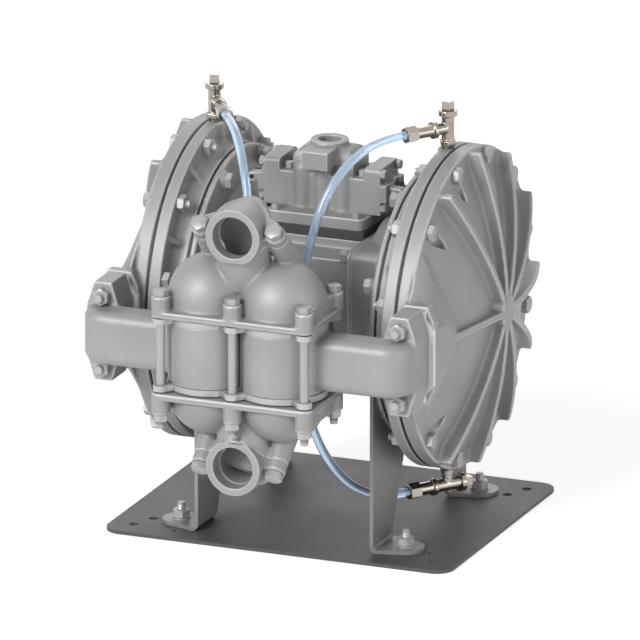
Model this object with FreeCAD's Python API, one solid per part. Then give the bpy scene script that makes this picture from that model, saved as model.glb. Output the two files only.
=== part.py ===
import FreeCAD, Part
import math
import os

# Air operated diaphragm pump with two hydraulically coupled diaphragm pairs.
# Millimetres. +X runs along the diaphragm rod, -Y points to the ports and +Z is up.
# The origin is the centre of the base plate's underside.

V = FreeCAD.Vector
X_AXIS = V(1, 0, 0)
Y_AXIS = V(0, 1, 0)
Z_AXIS = V(0, 0, 1)

# Base plate and its two leg brackets
BASE_LENGTH = 402.0
BASE_WIDTH = 330.0
BASE_THICKNESS = 4.0
BASE_CORNER_R = 20.0
OUTER_HOLES = (348.0, 274.0)
INNER_HOLES = (323.0, 221.4)
SMALL_HOLES = (249.0, 284.0)
MOUNT_HOLE_R = 5.25
SMALL_HOLE_R = 2.5
LEG_THICKNESS = 4.0
LEG_BEND_R = 8.0
LEG_WIDTH = 55.0
LEG_ARCH_Y = 45.0
LEG_ARCH_Z = 94.0
FOOT_X = 130.5
FOOT_R = 20.5
STUD_R = 4.75
STUD_TOP_Z = 26.0
WASHER_R = 10.0
WASHER_T = 1.6

# Pump axis and the clamped rim of each wet end
SHAFT_Z = 249.3
RIM_SEAM_X = 142.2
DIAPHRAGM_T = 2.4
INNER_RIM_T = 13.4
OUTER_RIM_T = 16.3
RIM_BOLTS = 12
RIM_BOLT_AF = 17.0
RIM_BOLT_HEAD = 7.0
RIM_NUT = 8.5
RIM_STUD_R = 5.0
RIM_STUD_END = 5.0

# Driver diaphragm's flange, and the rings of the rim outside it
SMALL_FLANGE_R = 149.0
SMALL_FLANGE_T = 7.0
SMALL_BORE_R = SMALL_FLANGE_R - 21.0
CONE_R = SMALL_FLANGE_R + 5.5
RIM_BOLT_CIRCLE_R = CONE_R + 10.5
RIM_R = RIM_BOLT_CIRCLE_R + 11.0
CAVITY_R = CONE_R - 4.5

# Outer chamber dome
DOME_R = RIM_BOLT_CIRCLE_R - 8.0
DOME_RISE = 33.0
DOME_WALL = 8.0
HUB_R = 16.7
HUB_X = 206.3
HUB_SIDES = 10
RIB_T = 7.0
RIB_TOP_X = HUB_X - 0.3
RIB_ARC_R = 470.0
RIB_TIP_R = RIM_R - 2.0
RIB_ANGLES = (0, 30, 60, 90, 120, 150, 180, 210, 330)
SHORT_RIB_R = 112.0
SHORT_RIB_TIP_X = 188.0
PORT_ANGLE = 270.0
BOLT_POCKET_R = 12.5
BOLT_POCKET_REACH = 38.0
PLUG_R = 130.0
PLUG_ANGLE = 16.6
PLUG_SEAT_X = 166.0
PLUG_POCKET_R = 10.0
PLUG_AF = 13.0
PLUG_HEAD = 5.0
PLUG_SHANK_R = 4.0
PLUG_SHANK = 8.0

# Inner chamber, which holds the hydraulic fluid
GUSSET_T = 6.0
GUSSET_EDGE = 3.0
TEE_BOSS_R = 11.0

# Driver diaphragm joint and the air chamber behind it
DRIVER_SEAM_X = 109.8
AIR_FLANGE_T = 6.0
DRIVER_BOLTS = 8
DRIVER_BOLT_CIRCLE_R = SMALL_FLANGE_R - 11.0
DRIVER_BOLT_AF = 16.0
DRIVER_BOLT_HEAD = 8.0
DRIVER_PAD_R = 10.0
LEG_FRONT_Y = DRIVER_BOLT_CIRCLE_R * math.cos(math.pi / DRIVER_BOLTS) + DRIVER_BOLT_AF / 2
LEG_BACK_Y = LEG_FRONT_Y - LEG_WIDTH
FOOT_Y = (LEG_FRONT_Y + LEG_BACK_Y) / 2
AIR_BLOCK_X = 62.0
AIR_BLOCK_Y = 100.0
AIR_BLOCK_Z = 78.0
AIR_BLOCK_CORNER_R = 9.0
AIR_DISH_R = 96.0
AIR_CONE_R = 110.0
AIR_CONE_X = 94.0
AIR_CAVITY_R = 104.0
AIR_CAVITY_X = 72.0

# Centre body between the air chambers
BODY_X = 58.0
BODY_Y = 86.0
BODY_BOTTOM_DZ = -74.0
BODY_TOP_Z = 324.0
BODY_TOP_T = 11.0
BODY_TOP_Y = 49.5
BODY_BOLT_AF = 14.0
BODY_BOLT_HEAD = 7.5
BODY_BOLT_Y = 93.0
BODY_BOLT_DZ = 71.0
EXHAUST_R = 22.0
EXHAUST_BORE_R = 14.5
EXHAUST_DZ = 10.0
EXHAUST_Y = 104.0
EXHAUST_DEPTH = 26.0

# Diaphragm rod and its plates
ROD_R = 10.0
ROD_FIT = 0.05
ROD_END_X = 126.0
BUSHING_R = 14.0
BUSHING_LENGTH = 26.0
PLATE_R = 88.0
PLATE_T = 8.0
PLATE_HUB_R = 26.0
FOLD_MARGIN = 5.0
FOLD_HEIGHT = 7.0
RUN_GAP = 0.3

# Pilot valve, worked by plungers at the end of the stroke
PILOT_DZ = 52.0
PILOT_R = 7.0
PILOT_LAND = 10.0
PILOT_TRAVEL_ROOM = 5.0
PILOT_BODY = (60.0, 34.0, 28.0)
PILOT_REACH_X = 89.0
PLUNGER_R = 4.0

# Air distribution valve on top
VALVE_GASKET_T = 11.0
GASKET_Z = BODY_TOP_Z + VALVE_GASKET_T
VALVE_X = 36.0
VALVE_Y = 26.5
VALVE_BASE_X = 57.0
VALVE_BASE_Y = 48.0
VALVE_BASE_T = 13.0
VALVE_BASE_CORNER_R = 8.0
VALVE_BORE_Z = 372.5
VALVE_TOP_Z = VALVE_BORE_Z + 29.5
VALVE_BLOCK_Z = VALVE_BORE_Z + 14.5
SLEEVE_R = 12.5
SPOOL_R = 8.5
SPOOL_HALF = 32.0
SPOOL_LAND = 8.0
SPOOL_STEM_R = 5.5
TURRET_X = 35.0
TURRET_Y = 23.0
TURRET_Z = VALVE_TOP_Z + 13.0
TURRET_ROUND = 15.0
INLET_R = 20.7
INLET_BORE_R = 12.4
INLET_TOP_Z = VALVE_TOP_Z + 19.8
INLET_Y = -3.5
INLET_DEPTH = 24.0
NAME_PAD_X = 15.0
NAME_PAD_Z = (VALVE_TOP_Z - 4.0, VALVE_TOP_Z + 16.0)
FRONT_COLUMN_R = 11.0
FRONT_COLUMN_Y = -19.5
FRONT_COLUMN_DZ = 3.0
FRONT_COLUMNS = (-23.5, 0.0, 23.5)
CAP_T = 31.7
CAP_PLATE_T = 18.3
CAP_TOP_Z = VALVE_TOP_Z - 2.0
CAP_EDGE_R = 5.0
VALVE_CAP_X = VALVE_X + CAP_T
CAP_BAND_T = 6.8
CAP_BAND_DZ = 9.5
CAP_NOSE_R = 14.0
CAP_NOSE = 9.0
CAP_RECESS = 9.0
VALVE_SCREW_AF = 9.5
VALVE_SCREW_HEAD = 6.5
VALVE_SCREW_XY = (47.0, 41.5)
STEP_SCREW_XY = (42.6, 12.9)
CAP_SCREW_AF = 9.5
CAP_SCREW_HEAD = 5.5
CAP_SCREW_YZ = (21.5, 18.8)
BUMPER_R = 9.0
BUMPER_T = 4.0
BUMPER_STEM = 9.0
BUMPER_Y = 3.5
CLIP_R = 1.2
CLIP_HALF = 8.5
END_LUG_REACH = 17.1
END_LUG_X = VALVE_CAP_X + END_LUG_REACH
END_LUG_Y = -12.6
END_LUG_Z = VALVE_BORE_Z
END_LUG_R = 6.0
END_LUG_HOLE_R = 2.6

# Valve columns: the ball passages and the arms to the outer chambers
SIDE_GASKET_Y = -(RIM_R + 7.0)
SIDE_GASKET_T = 6.0
FLANGE_Y = SIDE_GASKET_Y - SIDE_GASKET_T
LUG_BACK_Y = FLANGE_Y - 40.0
COLUMN_X = 41.4
COLUMN_SETBACK = 48.6
COLUMN_Y = FLANGE_Y - COLUMN_SETBACK
COLUMN_R = 46.4
COLUMN_BORE_R = 33.0
COLUMN_GAP = 1.0
PORT_AXIS_X = 171.0
ARM_HALF_Y = 21.5
ARM_FRONT_Y = COLUMN_Y - ARM_HALF_Y
ARM_BACK_Y = COLUMN_Y + ARM_HALF_Y
ARM_DZ = 29.5
ARM_HALF_X = 18.4
ARM_WALL = 6.0
ARM_ROUND = 11.0
ARM_CORNER_R = 30.0
LUG_DZ = 55.0
LUG_HALF_X = 10.0
SIDE_BORE_R = 17.0
SIDE_BOLT_DZ = 40.0
SIDE_BOLT_AF = 17.0
SIDE_STUD_R = 5.0
SIDE_STUD_END = 5.0
PORT_BLOCK_HALF_X = 21.6
PORT_BLOCK_INNER_Y = -111.0
PORT_PLATE_T = 12.0
# Half of the neck's outline, as Y and height over the port's axis: its top, and its root on the rim's face
NECK_TOP = ((SIDE_GASKET_Y + 1.0, 29.0), (-142.0, 24.0), (-127.0, 10.0))
NECK_ROOT = ((SIDE_GASKET_Y + 1.0, 52.0), (-139.0, 104.0), (-10.0, 30.0))
THROAT_OUT = 14.0
THROAT_IN = 25.0
THROAT_DZ = 16.0
GASKET_HALF_X = 23.5
GASKET_SHOULDER_DZ = 31.0
GASKET_TIP_X = 13.0
GASKET_TIP_DZ = 42.0
GASKET_END_R = 52.4

# Seat plates, manifold castings and the tie bolts through them
UPPER_SEAT_Z = (283.6, 290.0)
LOWER_SEAT_Z = (208.5, 215.0)
MANIFOLD_GASKET_T = 1.6
MANIFOLD_FLANGE_T = 7.1
TIE_X = 82.7
TIE_FRONT_REACH = 42.1
TIE_BACK_REACH = 41.6
TIE_FRONT_Y = COLUMN_Y - TIE_FRONT_REACH
TIE_BACK_Y = COLUMN_Y + TIE_BACK_REACH
TIE_TURN = 15.0
TIE_R = 4.75
TIE_HOLE_R = 5.25
TIE_AF = 14.3
TIE_HEAD = 7.4
TIE_NUT = 8.0
TIE_STUD_END = 8.0
TIE_BOSS_R = 10.0
TIE_SEAT_R = TIE_BOSS_R + 1.5
SEAT_DISC_R = COLUMN_R + 1.4
SEAT_EAR_R = 8.4
SIDE_WALL_T = 8.0
SIDE_BLOCK_HALF_Y = 20.0
UPPER_BOSS_Z = 314.6
LOWER_BOSS_Z = 182.6
UPPER_DOME_Z = 308.5
LOWER_DOME_Z = 200.8
DOME_BORE_R = 38.0
SEAT_R = 28.0
SEAT_BORE_R = 20.0
BALL_R = 25.5
BALL_LIFT = 12.0
BALL_GUIDE_GAP = 0.6
BALL_STOP_GAP = 1.0
BALL_STOP_R = 12.0
BALL_STOP_T = 9.0
GUIDE_T = 6.0
GUIDE_ANGLES = (120.0, 180.0, 240.0)
DOME_ROOF_R = 22.0
DOME_ROOF_DZ = 37.0

# Threaded ports and their inclined two-bolt flanges
PORT_REACH = 42.4
PORT_SEAT_REACH = 14.4
PORT_FACE_Y = COLUMN_Y - PORT_REACH
PORT_SEAT_Y = COLUMN_Y - PORT_SEAT_REACH
DISCHARGE_Z = 387.9
SUCTION_Z = 130.7
PORT_R = 30.8
PORT_BORE_R = 23.0
PORT_THREAD = 16.0
PORT_THROAT_R = 21.0
SPIGOT_R = 25.8
PORT_LUG_X = 42.5
PORT_LUG_R = 11.0
PORT_FLANGE_R = 34.0
PORT_FLANGE_T = 11.0
PORT_SETBACK = 4.0
PORT_BOLT_AF = 17.0
PORT_BOLT_HEAD = 7.5
PORT_BOLT_OFFSET = 3.4
PORT_PAD_T = 14.0
PORT_LUG_TAPER = 3.5
NECK_R = 31.0
NECK_BORE_R = 22.0
NECK_ROOT_R = 27.0
NECK_ROOT_DZ = 14.0
CROSS_BORE_R = 19.0
WEB_Y = COLUMN_Y - 24.4
WEB_FOOT = 6.0
WEB_HEAD = 17.5
WEB_HEIGHT = 48.0

# Sight tubes for the hydraulic fluid and their fittings
TUBE_R = 4.75
TEE_X = RIM_SEAM_X - INNER_RIM_T / 2
TEE_DIRECTION = (-0.574, -0.819)
TEE_R = 7.0
TEE_COLLAR_R = 10.3
TEE_BRANCH_R = TEE_R - 0.6
TEE_HEX_AF = 17.0
TEE_HEX_T = 5.0
TEE_RIM_T = 6.0
TEE_BRANCH = 16.0
TEE_UPPER_Z = SHAFT_Z + RIM_R + 22.7
TEE_TOP_Z = TEE_UPPER_Z + 20.0
TEE_PLUG_AF = 10.0
TEE_PLUG_HEIGHT = 10.0
TEE_LOWER_Z = SHAFT_Z - RIM_R - 27.3
TEE_NUT_AF = 16.0
TEE_NUT_LENGTH = 14.0
UPPER_EXIT = 55.0
LOWER_EXIT = 50.5
LOWER_PLUG_REACH = 30.0
# Route of a tube as (distance from the tee along its plane, height)
TUBE_ROUTE = (
    (55.0, 448.0),
    (85.0, 448.0),
    (120.0, 434.5),
    (149.0, 408.0),
    (169.0, 371.0),
    (182.0, 326.0),
    (190.0, 277.0),
    (191.0, 226.0),
    (184.0, 176.0),
    (171.0, 133.0),
    (152.0, 97.0),
    (127.0, 68.0),
    (100.0, 52.5),
    (75.5, 46.0),
    (50.5, 46.0),
)


# General helpers


def cylinder(radius, start, axis, length):
    return Part.makeCylinder(radius, length, start, axis)


def box(x0, x1, y0, y1, z0, z1):
    return Part.makeBox(x1 - x0, y1 - y0, z1 - z0, V(x0, y0, z0))


def fuse(first, *others):
    return first.fuse(list(others)).removeSplitter()


def outline(start, *steps):
    """Closed face. A step is the next point, or a pair (point passed on the arc, its end)."""
    edges = []
    here = start
    for step in steps + (start,):
        if isinstance(step, tuple):
            edges.append(Part.Arc(here, step[0], step[1]).toShape())
            here = step[1]
        elif step.distanceToPoint(here) > 1e-6:
            edges.append(Part.LineSegment(here, step).toShape())
            here = step
    return Part.Face(Part.Wire(edges))


def plate(points, height_axis):
    """Straight-sided solid: a polygon of vectors pushed along a vector."""
    return outline(*points).extrude(height_axis)


def turned(profile):
    """Solid of revolution about the rod's axis, from (x, radius) points and arc pairs."""
    def place(p):
        if isinstance(p[0], tuple):
            return tuple(V(x, 0, SHAFT_Z + r) for x, r in p)
        return V(p[0], 0, SHAFT_Z + p[1])

    face = outline(*[place(p) for p in profile])
    return face.revolve(V(0, 0, SHAFT_Z), X_AXIS, 360)


def polygon_bar(sides, across_corners, start, axis, length, turn=0.0):
    """Prism with a regular polygon as its section."""
    along = V(axis).normalize()
    side = Z_AXIS if abs(along.dot(Z_AXIS)) < 0.9 else X_AXIS
    u = (side - along * side.dot(along)).normalize()
    w = along.cross(u)
    points = []
    for k in range(sides):
        a = math.radians(turn) + 2 * math.pi * k / sides
        points.append(start + (u * math.cos(a) + w * math.sin(a)) * (across_corners / 2))
    return plate(points, along * length)


def hexagon(across_flats, start, axis, length, turn=0.0):
    return polygon_bar(6, across_flats / math.cos(math.pi / 6), start, axis, length, turn)


def bolt(across_flats, head, radius, shank, seat, axis, turn=0.0):
    """Hexagon bolt: its head stands on the seat along the axis, its shank runs the other way."""
    stem = cylinder(radius, seat - axis * shank, axis, shank + head / 2)
    return fuse(hexagon(across_flats, seat, axis, head, turn), stem)


def nut(across_flats, height, bore, seat, axis, turn=0.0):
    hole = cylinder(bore, seat - axis, axis, height + 2)
    return hexagon(across_flats, seat, axis, height, turn).cut(hole)


def washer(radius, bore, thickness, seat, axis):
    return cylinder(radius, seat, axis, thickness).cut(cylinder(bore, seat, axis, thickness))


def around_shaft(x, radius, degrees):
    """Point on a circle about the rod's axis, the angle counted from +Z towards +Y."""
    a = math.radians(degrees)
    return V(x, radius * math.sin(a), SHAFT_Z + radius * math.cos(a))


def spun(shape, degrees):
    """Copy turned about the rod's axis, from +Z towards +Y."""
    copy = shape.copy()
    copy.rotate(V(0, 0, SHAFT_Z), X_AXIS, -degrees)
    return copy


def mirrored(shape):
    return shape.mirror(V(0, 0, 0), X_AXIS)


def both_sides(shapes):
    return shapes + [mirrored(s) for s in shapes]


def ring_angles(count):
    return [360.0 / count * (k + 0.5) for k in range(count)]


# Base


def base_plate():
    half_x = BASE_LENGTH / 2
    half_y = BASE_WIDTH / 2
    plate_solid = box(-half_x, half_x, -half_y, half_y, 0, BASE_THICKNESS)
    edges = [e for e in plate_solid.Edges if abs(e.tangentAt(e.FirstParameter).z) > 0.9]
    plate_solid = plate_solid.makeFillet(BASE_CORNER_R, edges)
    holes = []
    for spacing, radius in (
        (OUTER_HOLES, MOUNT_HOLE_R),
        (INNER_HOLES, MOUNT_HOLE_R),
        (SMALL_HOLES, SMALL_HOLE_R),
    ):
        for sx in (-1, 1):
            for sy in (-1, 1):
                at = V(sx * spacing[0] / 2, sy * spacing[1] / 2, -1)
                holes.append(cylinder(radius, at, Z_AXIS, BASE_THICKNESS + 2))
    return plate_solid.cut(holes)


def foot_centres():
    return [V(sx * FOOT_X, sy * FOOT_Y, BASE_THICKNESS) for sx in (-1, 1) for sy in (-1, 1)]


def foot_studs():
    return [cylinder(STUD_R, at, Z_AXIS, STUD_TOP_Z - at.z) for at in foot_centres()]


def foot_nuts():
    pieces = []
    for at in foot_centres():
        seat = at + Z_AXIS * LEG_THICKNESS
        pieces.append(washer(WASHER_R, STUD_R + RUN_GAP, WASHER_T, seat, Z_AXIS))
        pieces.append(nut(RIM_BOLT_AF, RIM_NUT, STUD_R, seat + Z_AXIS * WASHER_T, Z_AXIS))
    return pieces


def leg_bracket():
    """Bent plate: an upright with two legs, a rounded foot on each, and a seat for the flange."""
    x1 = DRIVER_SEAM_X - AIR_FLANGE_T
    x0 = x1 - LEG_THICKNESS
    z0 = BASE_THICKNESS
    bend_z = z0 + LEG_BEND_R
    widest_bolt = math.radians(90 - 180 / DRIVER_BOLTS)
    shoulder_z = SHAFT_Z - DRIVER_BOLT_CIRCLE_R * math.cos(widest_bolt) + DRIVER_PAD_R
    right_half = [
        V(x0, LEG_FRONT_Y, bend_z),
        V(x0, LEG_FRONT_Y, shoulder_z - DRIVER_PAD_R),
        V(x0, LEG_FRONT_Y - DRIVER_PAD_R, shoulder_z),
    ]
    inner = [
        V(x0, LEG_ARCH_Y, LEG_ARCH_Z),
        V(x0, LEG_BACK_Y, bend_z),
    ]
    def flip(points):
        return [V(p.x, -p.y, p.z) for p in reversed(points)]

    upright = plate(right_half + flip(right_half) + flip(inner) + inner, X_AXIS * LEG_THICKNESS)
    opening = cylinder(AIR_CONE_R + RUN_GAP, V(x0 - 1, 0, SHAFT_Z), X_AXIS, LEG_THICKNESS + 2)
    upright = upright.cut(opening)
    feet = []
    half = (LEG_FRONT_Y - LEG_BACK_Y) / 2
    for side in (-1, 1):
        y = side * (LEG_FRONT_Y + LEG_BACK_Y) / 2
        bend_x = x0 + LEG_BEND_R
        rounded = cylinder(FOOT_R, V(FOOT_X, side * FOOT_Y, z0), Z_AXIS, LEG_THICKNESS)
        slope = plate(
            [
                V(bend_x, y - half, z0),
                V(bend_x, y + half, z0),
                V(FOOT_X, side * FOOT_Y + FOOT_R, z0),
                V(FOOT_X, side * FOOT_Y - FOOT_R, z0),
            ],
            Z_AXIS * LEG_THICKNESS,
        )
        feet += [slope.fuse(rounded), leg_bend(x0, y - half, 2 * half)]
    bolt_holes = []
    for side in (-1, 1):
        bolt_holes.append(cylinder(STUD_R + RUN_GAP, V(FOOT_X, side * FOOT_Y, 0), Z_AXIS, LEG_THICKNESS * 3))
    for angle in ring_angles(DRIVER_BOLTS):
        if 90 < angle < 270:
            at = around_shaft(x0 - 1, DRIVER_BOLT_CIRCLE_R, angle)
            bolt_holes.append(cylinder(RIM_STUD_R + RUN_GAP, at, X_AXIS, LEG_THICKNESS + 2))
    return fuse(upright, *feet).cut(bolt_holes)


def leg_bend(x0, y0, width):
    """Quarter turn of the leg's plate between its upright and its foot."""
    x1 = x0 + LEG_BEND_R
    z1 = BASE_THICKNESS + LEG_BEND_R
    def bend_point(radius):
        share = radius * math.sqrt(0.5)
        return V(x1 - share, y0, z1 - share)

    inner_r = LEG_BEND_R - LEG_THICKNESS
    face = outline(
        V(x0, y0, z1),
        (bend_point(LEG_BEND_R), V(x1, y0, BASE_THICKNESS)),
        V(x1, y0, BASE_THICKNESS + LEG_THICKNESS),
        (bend_point(inner_r), V(x1 - inner_r, y0, z1)),
    )
    return face.extrude(Y_AXIS * width)


# Wet ends


def rim_faces():
    """X of the inner rim's back, the seam's two sides and the outer rim's face."""
    seam = RIM_SEAM_X
    return (seam - INNER_RIM_T, seam, seam + DIAPHRAGM_T, seam + DIAPHRAGM_T + OUTER_RIM_T)


def cap_arc(x_edge, r_edge, rise):
    """Arc of a spherical cap from its edge to its top on the rod's axis."""
    radius = (r_edge**2 + rise**2) / (2 * rise)
    half = math.asin(r_edge / radius) / 2
    centre_x = x_edge + rise - radius
    via = (centre_x + radius * math.cos(half), radius * math.sin(half))
    return (via, (x_edge + rise, 0.0))


def outer_chamber():
    _, _, x0, x1 = rim_faces()
    inner_top = x1 + DOME_RISE - DOME_WALL
    inner_via, _ = cap_arc(x0, CAVITY_R, inner_top - x0)
    shell = turned(
        [
            (x0, 0),
            (x0, RIM_R),
            (x1, RIM_R),
            (x1, DOME_R),
            cap_arc(x1, DOME_R, DOME_RISE),
        ]
    )
    cavity = turned([(x0 - 1, 0), (x0 - 1, CAVITY_R), (x0, CAVITY_R), (inner_via, (inner_top, 0.0))])
    hub_start = V(inner_top, 0, SHAFT_Z)
    hub = polygon_bar(HUB_SIDES, 2 * HUB_R, hub_start, X_AXIS, HUB_X - inner_top, 180 / HUB_SIDES)
    solid = fuse(shell, hub, port_block(), *chamber_ribs(x1, inner_top))
    pockets = [spun(bolt_pocket(x1), angle) for angle in rim_bolt_angles()]
    throat_y0 = PORT_BLOCK_INNER_Y - THROAT_OUT
    throat_y1 = PORT_BLOCK_INNER_Y + THROAT_IN
    passage = cylinder(SIDE_BORE_R, V(PORT_AXIS_X, FLANGE_Y, SHAFT_Z), Y_AXIS, throat_y0 + 4 - FLANGE_Y)
    throat = box(x0, PORT_AXIS_X, throat_y0, throat_y1, SHAFT_Z - THROAT_DZ, SHAFT_Z + THROAT_DZ)
    bolt_holes = [cylinder(SIDE_STUD_R, at, Y_AXIS, PORT_PLATE_T) for at in side_bolt_points(SIDE_GASKET_Y)]
    plug_seat = around_shaft(PLUG_SEAT_X, PLUG_R, PLUG_ANGLE)
    pockets.append(cylinder(PLUG_POCKET_R, plug_seat, X_AXIS, DOME_RISE))
    plug_hole = cylinder(PLUG_SHANK_R, plug_seat - X_AXIS * (PLUG_SHANK + 1), X_AXIS, PLUG_SHANK + 2)
    return solid.cut(pockets + [cavity, passage, throat, plug_hole] + bolt_holes)


def rim_bolt_angles():
    """Bolts of the outer rim, without the two that thread into the port's neck from behind."""
    near = 360.0 / RIM_BOLTS
    return [angle for angle in ring_angles(RIM_BOLTS) if abs(angle - PORT_ANGLE) > near]


def bolt_pocket(x):
    """Pointed arch about the top bolt, that its head sits in."""
    half = BOLT_POCKET_R
    z = SHAFT_Z + RIM_BOLT_CIRCLE_R
    out = z + 2 * half
    arch = [V(x, -half, z), V(x, -half, out), V(x, half, out), V(x, half, z), V(x, 0, z - BOLT_POCKET_REACH)]
    return plate(arch, X_AXIS * DOME_RISE)


def chamber_ribs(x1, x_root):
    """Radial ribs with an arched edge that rises to the hub, and a short one on the port's side."""
    def edge(r):
        return V(RIB_TOP_X - r * r / (2 * RIB_ARC_R), -RIB_T / 2, SHAFT_Z + r)

    def rib(tip_r, angle):
        y = -RIB_T / 2
        face = outline(
            V(x_root, y, SHAFT_Z),
            V(edge(HUB_R).x, y, SHAFT_Z),
            edge(HUB_R),
            (edge((HUB_R + tip_r) / 2), edge(tip_r)),
            V(x1 - 1, y, SHAFT_Z + tip_r),
            V(x1 - 1, y, SHAFT_Z + DOME_R / 2),
        )
        return spun(face.extrude(Y_AXIS * RIB_T), angle)

    y = -RIB_T / 2
    short_rib = plate(
        [
            V(x_root, y, SHAFT_Z),
            V(RIB_TOP_X, y, SHAFT_Z),
            V(RIB_TOP_X, y, SHAFT_Z + HUB_R),
            V(SHORT_RIB_TIP_X, y, SHAFT_Z + SHORT_RIB_R),
            V(x_root, y, SHAFT_Z + SHORT_RIB_R),
        ],
        Y_AXIS * RIB_T,
    )
    return [rib(RIB_TIP_R, angle) for angle in RIB_ANGLES] + [spun(short_rib, PORT_ANGLE)]


def port_block():
    """Two-bolt flange and the flared neck behind it that carry the side port on the chamber's front."""
    _, _, _, x1 = rim_faces()
    half = PORT_BLOCK_HALF_X
    shape = flange_outline(SIDE_GASKET_Y, half, SIDE_BOLT_DZ - 2, half - 8, LUG_DZ)
    flange = plate(shape, Y_AXIS * PORT_PLATE_T)
    neck = Part.makeLoft([neck_ring(x1 - 1, NECK_ROOT), neck_ring(PORT_AXIS_X + half, NECK_TOP)], True, True)
    return flange.fuse(neck)


def neck_ring(x, corners):
    points = [V(x, y, SHAFT_Z + dz) for y, dz in corners]
    points += [V(x, y, SHAFT_Z - dz) for y, dz in reversed(corners)]
    return Part.makePolygon(points + points[:1])


def containment_chamber():
    """Cone between the driver diaphragm and the pump diaphragm, with gussets and two tee bosses."""
    x_back, x_seam, _, _ = rim_faces()
    x0 = DRIVER_SEAM_X + DIAPHRAGM_T
    x_cone = x0 + SMALL_FLANGE_T
    cone = turned(
        [
            (x0, SMALL_BORE_R),
            (x0, SMALL_FLANGE_R),
            (x_cone, SMALL_FLANGE_R),
            (x_back, CONE_R),
            (x_back, RIM_R),
            (x_seam, RIM_R),
            (x_seam, CAVITY_R),
        ]
    )
    gusset = plate(
        [
            V(x_cone - 1, -GUSSET_T / 2, SHAFT_Z + SMALL_FLANGE_R - GUSSET_EDGE),
            V(x_cone - 1, -GUSSET_T / 2, SHAFT_Z + SMALL_FLANGE_R),
            V(x_back, -GUSSET_T / 2, SHAFT_Z + RIM_R - GUSSET_EDGE),
            V(x_back + 1, -GUSSET_T / 2, SHAFT_Z + CONE_R - GUSSET_EDGE),
        ],
        Y_AXIS * GUSSET_T,
    )
    gussets = [spun(gusset, 360.0 / RIM_BOLTS * k) for k in range(RIM_BOLTS) if k % 6]
    bosses = []
    foot = CAVITY_R + 4
    for up in (-1, 1):
        boss = cylinder(TEE_BOSS_R, V(TEE_X, 0, SHAFT_Z + up * foot), Z_AXIS * up, RIM_R - foot)
        bosses.append(boss.common(box(0, x_seam, -RIM_R, RIM_R, 0, 2 * RIM_R + SHAFT_Z)))
    return fuse(cone, *gussets, *bosses)


def convoluted_disc(x, hole_r, fold_r0, fold_r1, edge_r, bulge):
    """Flexible disc with one fold between its clamped rings."""
    middle = (fold_r0 + fold_r1) / 2
    flat = (fold_r1 - fold_r0) / 6
    top = x + bulge
    front = [
        (x, hole_r),
        (x, fold_r0),
        (top, middle - flat),
        (top, middle + flat),
        (x, fold_r1),
        (x, edge_r),
    ]
    back = [(px + DIAPHRAGM_T, r) for px, r in reversed(front)]
    return turned(front + back)


def driver_diaphragm():
    fold_r0 = PLATE_R + FOLD_MARGIN
    fold_r1 = SMALL_BORE_R - FOLD_MARGIN
    hole_r = ROD_R + ROD_FIT
    return convoluted_disc(DRIVER_SEAM_X, hole_r, fold_r0, fold_r1, SMALL_FLANGE_R, FOLD_HEIGHT)


def pump_diaphragm():
    x = RIM_SEAM_X
    return turned([(x, 0), (x, RIM_R), (x + DIAPHRAGM_T, RIM_R), (x + DIAPHRAGM_T, 0)])


def square_block(x0, x1):
    """Slab with rounded corners, the shape of the joint between centre body and air chamber."""
    z0 = SHAFT_Z - AIR_BLOCK_Z
    slab = box(x0, x1, -AIR_BLOCK_Y, AIR_BLOCK_Y, z0, SHAFT_Z + AIR_BLOCK_Z)
    return slab.makeFillet(AIR_BLOCK_CORNER_R, [e for e in slab.Edges if abs(e.tangentAt(0).x) > 0.9])


def air_chamber():
    """Square block towards the centre body that opens into a dish with a round flange."""
    x_face = DRIVER_SEAM_X
    x_back = x_face - AIR_FLANGE_T
    block = square_block(AIR_BLOCK_X, AIR_CONE_X)
    dish = turned(
        [
            (AIR_CAVITY_X, 0),
            (AIR_CAVITY_X, AIR_DISH_R),
            (x_back - LEG_THICKNESS - RUN_GAP, AIR_CONE_R),
            (x_back, AIR_CONE_R),
            (x_back, SMALL_FLANGE_R),
            (x_face, SMALL_FLANGE_R),
            (x_face, 0),
        ]
    )
    pads = []
    for angle in ring_angles(DRIVER_BOLTS):
        if not 90 < angle < 270:
            at = around_shaft(x_back - LEG_THICKNESS, DRIVER_BOLT_CIRCLE_R, angle)
            pads.append(cylinder(DRIVER_PAD_R, at, X_AXIS, LEG_THICKNESS + 1))
    cavity = turned(
        [
            (AIR_CAVITY_X, 0),
            (AIR_CAVITY_X, PLATE_R + 5),
            (x_face - AIR_FLANGE_T, AIR_CAVITY_R),
            (x_face + 1, SMALL_BORE_R - 6),
            (x_face + 1, 0),
        ]
    )
    rod_hole = cylinder(ROD_R + 4, V(AIR_BLOCK_X - 1, 0, SHAFT_Z), X_AXIS, AIR_CAVITY_X)
    plunger_start = V(AIR_BLOCK_X - 1, 0, SHAFT_Z + PILOT_DZ)
    plunger_hole = cylinder(PLUNGER_R + RUN_GAP, plunger_start, X_AXIS, AIR_CAVITY_X)
    return fuse(block, dish, *pads).cut([cavity, rod_hole, plunger_hole])


def rim_bolts():
    """Bolt heads on the outer rim, each with its shank end in the pocket's seat."""
    _, _, _, x1 = rim_faces()
    heads = []
    for angle in rim_bolt_angles():
        seat = around_shaft(x1, RIM_BOLT_CIRCLE_R, angle)
        heads.append(hexagon(RIM_BOLT_AF, seat, X_AXIS, RIM_BOLT_HEAD, 30 - angle))
    return both_sides(heads)


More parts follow.
